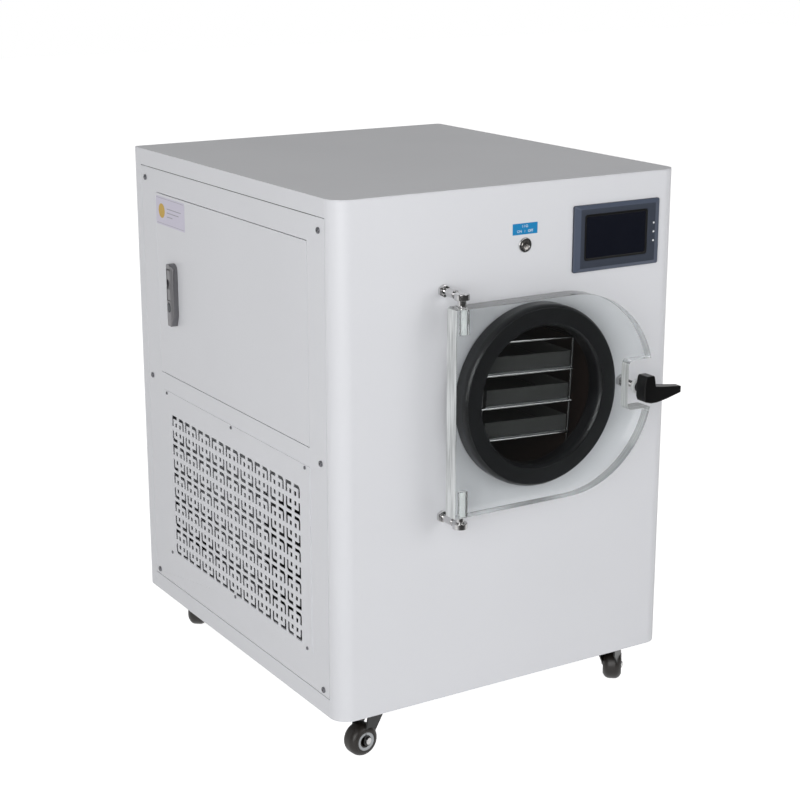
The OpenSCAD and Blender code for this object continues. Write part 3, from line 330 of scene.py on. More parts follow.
FINISHES = {
    "white_enamel": lambda s: powder_coat("white_powder_coat", s.paint),
    "grey_primer": lambda s: powder_coat("grey_chassis_coat", linear(0x8C8F93)),
    # The drum's dark brown stands for the shade inside the closed chamber and a warm brown reflection:
    # painted shade and painted reflection.
    "stainless": lambda s: baked_coat("black_ptfe_coat", linear(0x211814), 0.3),
    "zinc_casting": lambda s: die_cast("satin_die_cast_zinc", linear(0x8B8A8D), 0.3),
    "nickel": lambda s: bright_plate("bright_nickel_plate", linear(0xD9D8D8), 0.13),
    # A darker copy of the nickel plate for the screw heads: painted shade that deepens their dark
    # reflections.
    "nickel_painted_shade": lambda s: bright_plate("dark_nickel_plate", linear(0x828287), 0.16),
    "turned_steel": lambda s: turned_steel("turned_plated_steel", linear(0xB9B5B2)),
    "sheet_zinc": lambda s: rolled_sheet("rolled_aluminium", linear(0xC2C4C6), 0.32, 1),
    "dark_steel": lambda s: baked_coat("dark_grey_ptfe_coat", linear(0x343534), 0.42),
    "black_rubber": lambda s: moulded_rubber("black_nitrile_rubber", linear(0x06070A), 0.3),
    "clear_acrylic": lambda s: cast_acrylic("polished_cast_acrylic", s.acrylic),
    "polished_edge": lambda s: acrylic_edge("flame_polished_acrylic_edge", shade(s.acrylic, 0.92), 0.1, 0.7),
    "sawn_edge": lambda s: acrylic_edge("sawn_acrylic_edge", shade(s.acrylic, 0.9), 0.5, 0.25),
    "nylon": lambda s: moulded_plastic("natural_nylon", linear(0xE4E6E6), 0.38, 1.53),
    "black_plastic": lambda s: moulded_plastic("black_glass_filled_nylon", linear(0x040405), 0.3),
    "grey_blue_plastic": lambda s: moulded_plastic("blue_grey_abs", s.bezel, 0.42),
    # Lighter copy of the bezel colour for its sloping rim: painted highlight.
    "bezel_rim_painted_highlight": lambda s: moulded_plastic("light_blue_grey_abs", shade(s.bezel, 1.9), 0.4),
    "screen_border": lambda s: moulded_plastic("black_abs", linear(0x040404), 0.4),
    "screen_glass": lambda s: touch_glass("dark_touch_glass", linear(0x0D101B)),
    "lamp_white": lambda s: moulded_plastic("milky_polycarbonate", linear(0xF0F3F6), 0.3, 1.58),
    "dark_blue_plastic": lambda s: moulded_plastic("dark_blue_abs", linear(0x0D1A2A), 0.22),
    "copper": lambda s: drawn_copper("drawn_copper_tube", linear(0xC98A66)),
    "black_enamel": lambda s: moulded_plastic("black_stove_enamel", linear(0x0B0B0C), 0.3, 1.5, 1.5),
    "tyre_rubber": lambda s: moulded_rubber("brown_black_polyurethane", linear(0x1E1A17), 0.32),
    "hub_grey": lambda s: moulded_plastic("light_grey_polypropylene", linear(0xA9ACAF), 0.42, 1.49),
    "label_blue": lambda s: printed_film("blue_label_film", s.label),
    "label_print": lambda s: printed_film("white_label_ink", linear(0xE8F1F6)),
    "sticker_film": lambda s: printed_film("lilac_sticker_film", s.sticker),
    "sticker_amber": lambda s: printed_film("amber_sticker_ink", linear(0xC9A122)),
    "sticker_line": lambda s: printed_film("grey_sticker_ink", linear(0x85848E)),
}


def finish(name):
    """The material of a finish, made the first time that it is asked for."""
    key = "finish_" + name
    store = bpy.context.scene
    if key not in store:
        store[key] = FINISHES[name](store.freeze_dryer_colours).name
    return bpy.data.materials[store[key]]


# ---- shapes

def arc(cx, cy, radius, start, end, steps=8):
    """Points of an arc in a profile, with its angles in degrees."""
    angles = [math.radians(start + (end - start) * i / steps) for i in range(steps + 1)]
    return [(cx + radius * math.cos(a), cy + radius * math.sin(a)) for a in angles]


def facing(at, axis):
    """Moves the origin to a point and turns +Z to an axis."""
    return Matrix.Translation(at) @ Z_AXIS.rotation_difference(axis).to_matrix().to_4x4()


def bridge(bm, rings, closed=False):
    """Joins each ring of points to the next one, and the last to the first if closed."""
    pairs = list(zip(rings, rings[1:])) + ([(rings[-1], rings[0])] if closed else [])
    for first, second in pairs:
        count = max(len(first), len(second))
        for i in range(count):
            j = (i + 1) % count
            ring = [first[i % len(first)], first[j % len(first)],
                    second[j % len(second)], second[i % len(second)]]
            corners = list(dict.fromkeys(ring))
            if len(corners) > 2:
                bm.faces.new(corners)


def add_lathe(bm, profile, at, axis, segments=48, closed=False):
    """Revolves (radius, distance) points in millimetres about an axis through at."""
    place = facing(at, axis)
    rings = []
    for radius, along in profile:
        count = segments if radius > 1e-6 else 1
        turns = [2 * math.pi * i / segments for i in range(count)]
        rings.append([bm.verts.new(place @ (Vector((radius * math.cos(a), radius * math.sin(a), along)) * MM))
                      for a in turns])
    bridge(bm, rings, closed)


def add_box(bm, lo, hi):
    """A box between two corners."""
    place = Matrix.Translation((lo + hi) / 2) @ Matrix.Diagonal((*(hi - lo), 1))
    bmesh.ops.create_cube(bm, size=1, matrix=place)


def add_prism(bm, outline, at, axis, depth_mm):
    """Extrudes an outline in millimetres from at along axis; its second direction stays upright."""
    up = Z_AXIS if abs(axis.z) < 0.5 else Y_AXIS
    across = up.cross(axis)
    rings = []
    for along in (0, depth_mm):
        rings.append([bm.verts.new(at + (across * u + up * v + axis * along) * MM) for u, v in outline])
    bridge(bm, rings)
    bm.faces.new(rings[0][::-1])
    bm.faces.new(rings[1])


def add_loops(bm, loops, at, axis):
    """A closed ring through outlines of equal count, each put at its distance along axis, in millimetres."""
    across = Z_AXIS.cross(axis)
    rings = [[bm.verts.new(at + (across * u + Z_AXIS * v + axis * along) * MM) for u, v in outline]
             for outline, along in loops]
    bridge(bm, rings, closed=True)


def rounded(width, height, radius, steps=6):
    """Outline of a rectangle with round corners, about its middle."""
    points = []
    for turn, (sx, sy) in enumerate(((1, 1), (-1, 1), (-1, -1), (1, -1))):
        cx, cy = sx * (width / 2 - radius), sy * (height / 2 - radius)
        points += arc(cx, cy, radius, 90 * turn, 90 * turn + 90, steps)
    return points


def hexagon(flats):
    """Outline of a hex nut with two flats upright."""
    corner = flats / 2 / math.cos(math.radians(30))
    return arc(0, 0, corner, 30, 330, 5)


def settle(piece):
    """Applies a piece's modifiers to its mesh."""
    graph = bpy.context.evaluated_depsgraph_get()
    piece.data = bpy.data.meshes.new_from_object(piece.evaluated_get(graph))
    piece.modifiers.clear()


def filled(curve, place):
    """The mesh of a flat curve or of lettering, moved to its place."""
    holder = bpy.data.objects.new("outline", curve)
    bpy.context.scene.collection.objects.link(holder)
    graph = bpy.context.evaluated_depsgraph_get()
    mesh = bpy.data.meshes.new_from_object(holder.evaluated_get(graph))
    bpy.data.objects.remove(holder)
    mesh.transform(place)
    bm = bmesh.new()
    bm.from_mesh(mesh)
    bmesh.ops.remove_doubles(bm, verts=bm.verts, dist=WELD_GAP)
    return bm


def solid_object(name, bm):
    """An object made from a bmesh, with its faces turned outward."""
    bmesh.ops.recalc_face_normals(bm, faces=bm.faces)
    mesh = bpy.data.meshes.new(name)
    bm.to_mesh(mesh)
    bm.free()
    made = bpy.data.objects.new(name, mesh)
    bpy.context.scene.collection.objects.link(made)
    return made


def combine(piece, tool_bm, operation="DIFFERENCE"):
    """Cuts a piece with a tool solid, or keeps what both share."""
    tool = solid_object("tool", tool_bm)
    change = piece.modifiers.new("change", "BOOLEAN")
    change.object = tool
    change.operation = operation
    change.solver = "EXACT"
    settle(piece)
    bpy.data.objects.remove(tool)
    return piece


def make_piece(name, bm, material, node, replaced=(), slot=None, bevel_mm=0.0, segments=2, sharp=40):
    """A finished piece from a bmesh, which rides with a node; the slot, the given one or else the node's, is
    worked out but not given to the piece.
    """
    piece = solid_object(name, bm)
    if bevel_mm:
        edges = piece.modifiers.new("edges", "BEVEL")
        edges.width = bevel_mm * MM
        edges.segments = segments
        edges.limit_method = "ANGLE"
        edges.angle_limit = ROUNDED_ANGLE
        edges.use_clamp_overlap = False
        settle(piece)
    piece.data.polygons.foreach_set("use_smooth", [True] * len(piece.data.polygons))
    piece.data.set_sharp_from_angle(angle=math.radians(sharp))
    normals = piece.modifiers.new("normals", "WEIGHTED_NORMAL")
    normals.keep_sharp = True
    settle(piece)
    piece.data.materials.clear()
    piece.data.materials.append(finish(material))
    body, slot = body_of(node), slot or SLOTS[node]
    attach(piece, body)
    if replaced:
        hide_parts(*replaced)
    return piece


def welded(node):
    """A copy of a CAD node's mesh with its split vertices joined."""
    bm = bmesh.new()
    bm.from_mesh(NODES[node].data)
    bmesh.ops.remove_doubles(bm, verts=bm.verts, dist=WELD_GAP)
    return bm


def soften(node, bevel_mm, material=None, segments=2, sharp=40):
    """Replaces a CAD node by a copy whose sharp edges are rounded."""
    bm = welded(node)
    bmesh.ops.dissolve_limit(bm, angle_limit=FLAT_ANGLE, verts=bm.verts, edges=bm.edges)
    return make_piece(node + "_form", bm, material or SLOTS[node], node, [node],
                      bevel_mm=bevel_mm, segments=segments, sharp=sharp)


def paint(*nodes):
    """Gives CAD nodes that show as they are the finish of their slot."""
    for node in nodes:
        for place in NODES[node].material_slots:
            place.material = finish(SLOTS[node])


# ---- properties

class FreezeDryerColours(bpy.types.PropertyGroup):
    """Colours of the finishes"""
    paint: FloatVectorProperty(name="Cabinet paint", description="Powder coat of the cabinet's sheets",
                               default=linear(0xDFE0E4), **COLOUR)
    acrylic: FloatVectorProperty(name="Acrylic", description="Tint of the clear chamber door",
                                 default=linear(0xFAFDFD), **COLOUR)
    bezel: FloatVectorProperty(name="Bezel", description="Plastic round the touch screen",
                               default=linear(0x373E4C), **COLOUR)
    label: FloatVectorProperty(name="Label", description="Film of the label over the push button",
                               default=linear(0x0A84BE), **COLOUR)
    sticker: FloatVectorProperty(name="Sticker", description="Film of the sticker on the service door",
                                 default=linear(0xD0CCDC), **COLOUR)


class FreezeDryerSizes(bpy.types.PropertyGroup):
    """Sizes of the fine fittings"""
    fold: FloatProperty(name="Fold radius", description="Rounding of the folded and cut sheet edges",
                        min=0, default=0.5 * MM, **LENGTH)
    lattice_pitch: FloatProperty(name="Lattice pitch", description="Distance from one cell to the next",
                                 min=10 * MM, default=50 * MM, **LENGTH)
    lattice_cell: FloatProperty(name="Lattice cell", description="Width of one lattice cell",
                                min=10 * MM, default=44.8 * MM, **LENGTH)
    lattice_slot: FloatProperty(name="Lattice slot", description="Width of the corner slots",
                                min=1 * MM, default=5.5 * MM, **LENGTH)
    lattice_bridge: FloatProperty(name="Lattice bridge", description="Sheet left between two corner slots",
                                  min=1 * MM, default=7.6 * MM, **LENGTH)
    lattice_radius: FloatProperty(name="Lattice radius", description="Outer radius of the rounded slots",
                                  min=0.5 * MM, default=6 * MM, **LENGTH)
    lattice_square: FloatProperty(name="Lattice square", description="Side of the small squares in a cell",
                                  min=1 * MM, default=7 * MM, **LENGTH)
    label_size: FloatVectorProperty(name="Label size", description="Width and height of the label",
                                    subtype="XYZ_LENGTH", unit="LENGTH", size=2, default=(44 * MM, 16.5 * MM))
    label_gap: FloatProperty(name="Label gap", description="Gap between the label and the push button",
                             min=0, default=4.5 * MM, **LENGTH)
    label_mark: StringProperty(name="Label mark", description="Upper row of the label", default="I / O")
    label_text: StringProperty(name="Label text", description="Lower row of the label",
                               default="ON   /   OFF")
    sticker_size: FloatVectorProperty(name="Sticker size", description="Width and height of the sticker",
                                      subtype="XYZ_LENGTH", unit="LENGTH", size=2,
                                      default=(108 * MM, 46 * MM))
    film: FloatProperty(name="Film thickness", description="Thickness of the label and the sticker",
                        min=0, default=0.2 * MM, **LENGTH)
    thread: FloatProperty(name="Thread pitch", description="Pitch of the threads on the studs",
                          min=0.5 * MM, default=1.5 * MM, **LENGTH)


class FreezeDryerStage(bpy.types.PropertyGroup):
    """Camera and light of the studio"""
    lens: FloatProperty(name="Lens", description="Focal length of the camera in millimetres",
                        subtype="DISTANCE_CAMERA", unit="CAMERA", min=10, default=79.75)
    camera_place: FloatVectorProperty(name="Camera place", description="Where the camera stands",
                                      subtype="TRANSLATION", unit="LENGTH", size=3,
                                      default=(-1.45926, -2.36840, 1.22523))
    camera_tilt: FloatProperty(name="Camera tilt", description="How far the camera looks down",
                               subtype="ANGLE", unit="ROTATION", default=math.radians(15.6))
    camera_turn: FloatProperty(name="Camera turn", description="How far the camera looks to the right",
                               subtype="ANGLE", unit="ROTATION", default=math.radians(31.629))
    key: FloatProperty(name="Key light", description="Power of the large light at the front left corner",
                       subtype="POWER", unit="POWER", min=0, default=72)
    fill: FloatProperty(name="Fill light", description="Power of the light at the front right",
                        subtype="POWER", unit="POWER", min=0, default=25)
    room: FloatProperty(name="Room light", description="Strength of the even light from all sides",
                        min=0, default=0.9)
    ceiling: FloatProperty(name="Ceiling light", description="Strength of the light from straight above",
                           min=0, default=0.12)
    backdrop: FloatProperty(name="Mirrored backdrop", description="What mirrors see of the room behind",
                            min=0, default=0.6)
    dark: FloatProperty(name="Front darkness", description="What mirrors see of the room in front", min=0,
                        default=0.05)
    floor_glow: FloatProperty(name="Floor glow", description="How much whiter the floor looks than it is lit",
                              min=0, default=0.85)


# ---- cabinet

class FREEZE_DRYER_OT_cabinet(bpy.types.Operator):
    """Folds softened edges into the cabinet's sheets and paints them"""
    bl_idname = "freeze_dryer.cabinet"
    bl_label = "Cabinet"

    def execute(self, context):
        fold = context.scene.freeze_dryer_sizes.fold / MM
        for node in ("front_panel", "top_panel", "rear_panel", "left_panel", "right_panel", "base_pan"):
            soften(node, fold)
        paint("inner_frame")
        self.seam_shade_strips()
        return {"FINISHED"}

    def seam_shade_strips(self):
        """Black rubber strips on the side panels' upper hems, filling the seams under the lid: painted shade,
        dark strips that stand in for the shade inside those gaps.
        """
        inset, flange, clearance = 0.5, 1.8, 0.1
        width, tall, post = 9, 3.5, 25
        for node, side in (("left_panel", 1), ("right_panel", -1)):
            lo, hi = low(node), high(node)
            edge = lo.x if side > 0 else hi.x
            seam = (low("top_panel").z - hi.z) / MM - clearance
            outline = [(inset, 0), (width, 0), (width, tall), (flange, tall), (flange, seam), (inset, seam)]
            bm = bmesh.new()
            start = Vector((edge, hi.y - post * MM, hi.z))
            length = (hi.y - lo.y) / MM - 2 * post
            add_prism(bm, [(side * u, v) for u, v in outline], start, FRONT, length)
            # Painted shade: the black strip darkens the seam as its shade would.
            make_piece(node + "_seal", bm, "black_rubber", node, slot="black_rubber")


def corner_slot(arm, slot, radius):
    """Outline of an L-shaped slot with its corner at the origin, sharp or rounded to a radius."""
    if not radius:
        return [(0, arm), (0, 0), (arm, 0), (arm, slot), (slot, slot), (slot, arm)]
    inner = radius / 3
    outside = arc(radius, radius, radius, 180, 270, 6)
    inside = arc(slot + inner, slot + inner, inner, 270, 180, 4)
    return [(0, arm)] + outside + [(arm, 0), (arm, slot)] + inside + [(slot, arm)]


class FREEZE_DRYER_OT_vents(bpy.types.Operator):
    """Cuts the lattice of the two vent plates"""
    bl_idname = "freeze_dryer.vents"
    bl_label = "Vents"

    def execute(self, context):
        for node in ("left_vent", "right_vent"):
            self.plate(node, context.scene.freeze_dryer_sizes)
        return {"FINISHED"}

    def cell(self, sizes):
        """Holes of one lattice cell: four corner slots, two of them rounded, round four small squares."""
        half = sizes.lattice_cell / 2 / MM
        bridge = sizes.lattice_bridge / MM
        side = sizes.lattice_square / 2 / MM
        holes = []
        for turn in range(4):
            radius = sizes.lattice_radius / MM if turn % 2 else 0
            outline = corner_slot(half - bridge / 2, sizes.lattice_slot / MM, radius)
            turned = Matrix.Rotation(math.radians(90 * turn), 2)
            holes.append([tuple(turned @ Vector((u - half, v - half))) for u, v in outline])
        square = [(-side, -side), (side, -side), (side, side), (-side, side)]
        for x in (-bridge, bridge):
            for y in (-bridge, bridge):
                holes.append([(x + u, y + v) for u, v in square])
        return holes

    def outlines(self, length, height, sizes):
        """The plate's own outline and those of all its holes, about its middle, in millimetres."""
        pitch, margin, drop = sizes.lattice_pitch / MM, 40, 15
        columns = int((length - margin) / pitch)
        rows = int((height - margin) / pitch)
        found = [rounded(length, height, 1.0, 2)]
        for column in range(columns):
            for row in range(rows):
                x = (column - (columns - 1) / 2) * pitch
                y = (row - (rows - 1) / 2) * pitch - drop
                found += [[(x + u, y + v) for u, v in hole] for hole in self.cell(sizes)]
        return found

    def plate(self, node, sizes):
        """Flat plate with its lattice, filled from its outlines and as thick as the node."""
        lo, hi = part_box(node)
        curve = bpy.data.curves.new(node, "CURVE")
        curve.dimensions = "2D"
        curve.fill_mode = "BOTH"
        curve.extrude = (hi.x - lo.x) / 2
        for outline in self.outlines((hi.y - lo.y) / MM, (hi.z - lo.z) / MM, sizes):
            spline = curve.splines.new("POLY")
            spline.points.add(len(outline) - 1)
            spline.use_cyclic_u = True
            for point, (u, v) in zip(spline.points, outline):
                point.co = (u * MM, v * MM, 0, 1)
        upright = Matrix(((0, 0, 1), (1, 0, 0), (0, 1, 0))).to_4x4()
        bm = filled(curve, Matrix.Translation((lo + hi) / 2) @ upright)
        make_piece(node + "_lattice", bm, SLOTS[node], node, [node])


PAN_RIM, PAN_HEIGHT, PAN_FLANK = 1.86, 1.15, 0.6
RECESS_ARM, RECESS_WIDTH, RECESS_FOOT = 1.05, 0.2, 0.35


def screw_head(radius_mm, depth_mm):
    """A pan head with a cross recess on the origin, along +Z, sized from its thread's radius."""
    rim, height, flank = (share * radius_mm for share in (PAN_RIM, PAN_HEIGHT, PAN_FLANK))
    steps, sunk = 7, 0.1
    crown = [(rim * math.cos(t), flank + (height - flank) * math.sin(t))
             for t in (math.radians(90 * i / steps) for i in range(steps))]
    bm = bmesh.new()
    add_lathe(bm, [(0, -sunk), (rim, -sunk)] + crown + [(0, height)], Vector(), Z_AXIS, 32)
    head = solid_object("head", bm)
    arm, wide = RECESS_ARM * radius_mm, RECESS_WIDTH * radius_mm
    foot, lip, above = arm * RECESS_FOOT, height - 0.2, height + 1
    profile = [(-arm, above), (-arm, lip), (-foot, height - depth_mm),
               (foot, height - depth_mm), (arm, lip), (arm, above)]
    for turn in (0, 90):
        bm = bmesh.new()
        add_prism(bm, profile, Vector((0, wide * MM, 0)), FRONT, 2 * wide)
        turned = Matrix.Rotation(math.radians(turn), 3, "Z")
        bmesh.ops.rotate(bm, verts=bm.verts, cent=Vector(), matrix=turned)
        combine(head, bm)
    return head


def turned_copies(name, source, places, material, node):
    """Replaces a node by copies of source, each put at a point and turned to an axis and by an angle."""
    bm = bmesh.new()
    for at, axis, angle in places:
        mesh = source.data.copy()
        mesh.transform(facing(at, axis) @ Matrix.Rotation(angle, 4, "Z"))
        bm.from_mesh(mesh)
    bpy.data.objects.remove(source)
    return make_piece(name, bm, material, node, [node])


def screw_places(node):
    """Seat, direction and turn of each screw of a node: the axis is the side that its shank runs along."""
    places, same, turn_step = [], 0.1 * MM, 0.7
    for index, (lo, hi) in enumerate(solids(node)):
        size = hi - lo
        mid = (lo + hi) / 2
        along = 0 if abs(size.y - size.z) < same else 1
        head = size.z / 2 * PAN_HEIGHT / PAN_RIM
        out = 1 if mid[along] > 0 else -1
        seat = mid.copy()
        seat[along] = (hi[along] if out > 0 else lo[along]) - out * head
        axis = Vector((out, 0, 0)) if along == 0 else Vector((0, out, 0))
        places.append((seat, axis, turn_step * index))
    return places


class FREEZE_DRYER_OT_screws(bpy.types.Operator):
    """Cuts cross recesses into the heads of the panel screws and the vent screws"""
    bl_idname = "freeze_dryer.screws"
    bl_label = "Screws"

    def execute(self, context):
        for kind, thread_radius, recess_depth in (("panel_screw", 2.5, 1.6), ("vent_screw", 1.5, 1.0)):
            node = kind + "s"
            head = screw_head(thread_radius, recess_depth)
            # The heads take the darker copy of the nickel: painted shade round them.
            turned_copies(kind + "_heads", head, screw_places(node), "nickel_painted_shade", node)
        return {"FINISHED"}


# ---- service door

class FREEZE_DRYER_OT_service_door(bpy.types.Operator):
    """Paints the service door and sticks a plain sticker in its upper rear corner"""
    bl_idname = "freeze_dryer.service_door"
    bl_label = "Service door"

    def execute(self, context):
        sizes = context.scene.freeze_dryer_sizes
        soften("service_door", sizes.fold / MM)
        paint("service_hinge_pins")
        self.sticker(sizes)
        return {"FINISHED"}

    def sticker(self, sizes):
        """Pale film with an amber disc, three short bars and a thin line along each long edge."""
        wide, tall = (side / MM for side in sizes.sticker_size)
        film, ink, rear_gap, top_gap = sizes.film / MM, 0.05, 1, 4
        lo, hi = low("service_door"), high("service_door")
        centre = Vector((lo.x, hi.y - (rear_gap + wide / 2) * MM, hi.z - (top_gap + tall / 2) * MM))
        face = centre + LEFT * film * MM
        bm = bmesh.new()
        add_prism(bm, rounded(wide, tall, 1.5), centre, LEFT, film)
        make_piece("service_sticker", bm, "sticker_film", "service_door", slot="white_enamel")
        bm = bmesh.new()
        disc_radius, disc_aside = wide * 0.11, wide * 0.3
        add_prism(bm, arc(0, 0, disc_radius, 0, 345, 23), face + Y_AXIS * disc_aside * MM, LEFT, ink)
        make_piece("sticker_disc", bm, "sticker_amber", "service_door", slot="white_enamel")
        bm = bmesh.new()
        bar, first_row, row_step, bars_start = 1.1, 5.5, 6.5, wide * 0.12
        for row, share in enumerate((0.5, 0.42, 0.2)):
            length = wide * share
            start = face + Vector((0, bars_start - length / 2, first_row - row_step * row)) * MM
            add_prism(bm, rounded(length, bar, 0.3, 2), start, LEFT, ink)
        line, edge_gap = 0.5, 2.5
        for side in (-1, 1):
            start = face + Z_AXIS * side * (tall / 2 - edge_gap) * MM
            add_prism(bm, rounded(wide - 2 * edge_gap, line, 0.2, 2), start, LEFT, ink)
        make_piece("sticker_lines", bm, "sticker_line", "service_door", slot="white_enamel")


class FREEZE_DRYER_OT_side_lock(bpy.types.Operator):
    """Rounds the cast lock, its paddle and its button"""
    bl_idname = "freeze_dryer.side_lock"
    bl_label = "Side lock"

    def execute(self, context):
        soften("lock_body", 0.8, segments=3)
        soften("lock_paddle", 0.5)
        soften("lock_button", 0.6, "dark_blue_plastic")
        return {"FINISHED"}


# ---- controls

def lettering(name, words, centre, height_mm, depth_mm, node):
    """Raised lettering on the front, centred on a point."""
    curve = bpy.data.curves.new(name, "FONT")
    curve.body = words
    curve.align_x = "CENTER"
    curve.align_y = "CENTER"
    curve.size = height_mm * MM
    curve.extrude = depth_mm * MM / 2
    bm = filled(curve, Matrix.Translation(centre) @ Matrix.Rotation(math.radians(90), 4, "X"))
    return make_piece(name, bm, "label_print", node, slot="dark_blue_plastic")


class FREEZE_DRYER_OT_controls(bpy.types.Operator):
    """Finishes the touch screen, the push button and the label over it"""
    bl_idname = "freeze_dryer.controls"
    bl_label = "Controls"

    def execute(self, context):
        sizes = context.scene.freeze_dryer_sizes
        self.bezel()
        soften("status_lights", 0.2)
        paint("screen_glass")
        self.button()
        self.label(sizes)
        return {"FINISHED"}

    def label(self, sizes):
        """Blue label over the push button, with its two rows of raised print."""
        wide, tall = (side / MM for side in sizes.label_size)
        ring = middle("button_ring")
        face = low("front_panel").y
        centre = Vector((ring.x, face, high("button_ring").z + sizes.label_gap + sizes.label_size[1] / 2))
        bm = bmesh.new()
        add_prism(bm, rounded(wide, tall, 0.6, 3), centre, FRONT, sizes.film / MM)
        make_piece("button_label", bm, "label_blue", "front_panel", slot="dark_blue_plastic")
        letters, row_step, print_depth = 5.4, 7.2, 0.06
        for row, words in enumerate((sizes.label_mark, sizes.label_text)):
            up = (0.5 - row) * row_step
            spot = centre + FRONT * (sizes.film + print_depth / 2 * MM) + Z_AXIS * up * MM
            lettering(f"label_row_{row + 1}", words, spot, letters, print_depth, "front_panel")

    def bezel(self):
        """Bezel whose rim slopes back to the sheet, with a thin black frame round the glass."""
        lo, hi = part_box("screen_frame")
        glass = middle("screen_glass")
        centre = moved_middle((lo, hi), low("front_panel").y)
        width, height, out = (hi.x - lo.x) / MM, (hi.z - lo.z) / MM, (centre.y - lo.y) / MM
        window = [(b - a) / MM for a, b in zip(*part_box("screen_glass"))]
        aside, above = (glass.x - centre.x) / MM, (glass.z - centre.z) / MM

        def border(inset_x, inset_z, radius):
            return rounded(width - 2 * inset_x, height - 2 * inset_z, radius)

        def opening(inset, radius):
            return [(u + aside, v + above) for u, v in
                    rounded(window[0] - 2 * inset, window[2] - 2 * inset, radius)]

        outside = [(0, 0, 3, 0), (0, 0, 3, 2.6), (0.25, 0.2, 2.9, 3.2), (0.9, 0.6, 2.6, 3.7),
                   (9.2, 5.4, 1.8, out - 0.5), (10, 6, 1.6, out - 0.12), (11, 6.8, 1.4, out)]
        inside = [(-0.9, 4.9, out), (-0.3, 4.4, out - 0.15), (0, 4.2, out - 0.5), (0, 4.2, 0)]
        loops = [(border(x, z, radius), along) for x, z, radius, along in outside]
        loops += [(opening(inset, radius), along) for inset, radius, along in inside]
        bm = bmesh.new()
        add_loops(bm, loops, centre, FRONT)
        wall = 7 * MM
        add_box(bm, Vector((lo.x + wall, centre.y, lo.z + wall)), Vector((hi.x - wall, hi.y, hi.z - wall)))
        bezel = make_piece("screen_bezel", bm, "grey_blue_plastic", "screen_frame", ["screen_frame"],
                           sharp=14)
        # The sloping rim takes a painted highlight, a lighter copy of the bezel colour.
        self.paint_rim_highlight(bezel, centre, 0.4 * width * MM, 0.4 * height * MM)
        lip = [(0, 4.2, out - 0.8), (0, 4.2, out - 0.4), (1.2, 3.6, out - 0.35),
               (3.4, 2.6, out - 0.6), (3.6, 2.5, out - 0.8)]
        bm = bmesh.new()
        add_loops(bm, [(opening(inset, radius), along) for inset, radius, along in lip], centre, FRONT)
        make_piece("screen_inner_frame", bm, "screen_border", "screen_frame", slot="black_plastic")

    def paint_rim_highlight(self, bezel, centre, aside, above):
        """Gives the sloping faces that lie outside a window about the centre a lighter copy of the bezel
        colour: a painted highlight where light falls on the rim.
        """
        bezel.data.materials.append(finish("bezel_rim_painted_highlight"))
        for face in bezel.data.polygons:
            sloping = 0.5 < -face.normal.y < 0.98
            away = face.center - centre
            face.material_index = int(sloping and (abs(away.x) > aside or abs(away.z) > above))

    def button(self):
        """Turned ring with a rolled edge and a dished cap."""
        lo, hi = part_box("button_ring")
        centre = moved_middle((lo, hi), low("front_panel").y)
        outer = (hi.x - lo.x) / 2 / MM
        stand, neck = (centre.y - lo.y) / MM, (hi.y - centre.y) / MM
        wall, step, nut_back, nut_front, rolled, lip = 4, 3, -6, -1.6, 1.4, 0.5
        bore, shank = outer - wall, outer - step
        profile = [(bore, -neck), (shank, -neck), (shank, nut_back), (outer, nut_back), (outer, nut_front),
                   (shank, nut_front), (shank, 0), (outer, 0)]
        profile += arc(outer - rolled, stand - rolled, rolled, 0, 90, 5)
        profile += arc(bore + lip, stand - lip, lip, 90, 180, 3)
        bm = bmesh.new()
        add_lathe(bm, profile, centre, FRONT, 64, closed=True)
        make_piece("button_ring_form", bm, "nickel", "button_ring", ["button_ring"])
        lo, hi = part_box("button_cap")
        radius = (hi.x - lo.x) / 2 / MM
        back, top = (hi.y - centre.y) / MM, (centre.y - lo.y) / MM
        chamfer, hollow, steps = 0.5, 0.9, 6
        flat = radius - chamfer
        profile = [(0, -back), (radius, -back), (radius, top - chamfer), (flat, top)]
        for i in range(1, steps + 1):
            share = 1 - i / steps
            profile.append((flat * share, top - hollow * (1 - share ** 2)))
        bm = bmesh.new()
        add_lathe(bm, profile, centre, FRONT, 64)
        make_piece("button_cap_form", bm, "turned_steel", "button_cap", ["button_cap"])


# ---- chamber

class FREEZE_DRYER_OT_chamber(bpy.types.Operator):
    """Finishes the drum, its gasket and its cooling coil"""
    bl_idname = "freeze_dryer.chamber"
    bl_label = "Chamber"

    def execute(self, context):
        # The drum's dark brown finish is painted shade and a painted reflection.
        paint("chamber_drum", "cooling_coil", "gasket")
        return {"FINISHED"}


def nut_form(flats, height_mm):
    """A hex nut with chamfered corners, from the origin along +Z, closed through its middle."""
    bm = bmesh.new()
    add_prism(bm, hexagon(flats), Vector(), Z_AXIS, height_mm)
    nut = solid_object("nut", bm)
    corner = flats / 2 / math.cos(math.radians(30))
    face, past, rise = flats / 2 - 0.4, corner + 0.2, 0.1
    drop = (corner - flats / 2 + 0.4) * math.tan(math.radians(30)) + rise
    bm = bmesh.new()
    cone = [(0, 0), (face, 0), (past, drop), (past, height_mm - drop), (face, height_mm), (0, height_mm)]
    add_lathe(bm, cone, Vector(), Z_AXIS, 48)
    return combine(nut, bm, "INTERSECT")


def hex_nuts(node):
    """Replaces a node's nuts, which lie along Y, by chamfered ones."""
    boxes = solids(node)
    lo, hi = boxes[0]
    places = [(moved_middle(box, box[1].y), FRONT, 0) for box in boxes]
    nut = nut_form((hi.x - lo.x) / MM, (hi.y - lo.y) / MM)
    turned_copies(node + "_form", nut, places, "nickel", node)


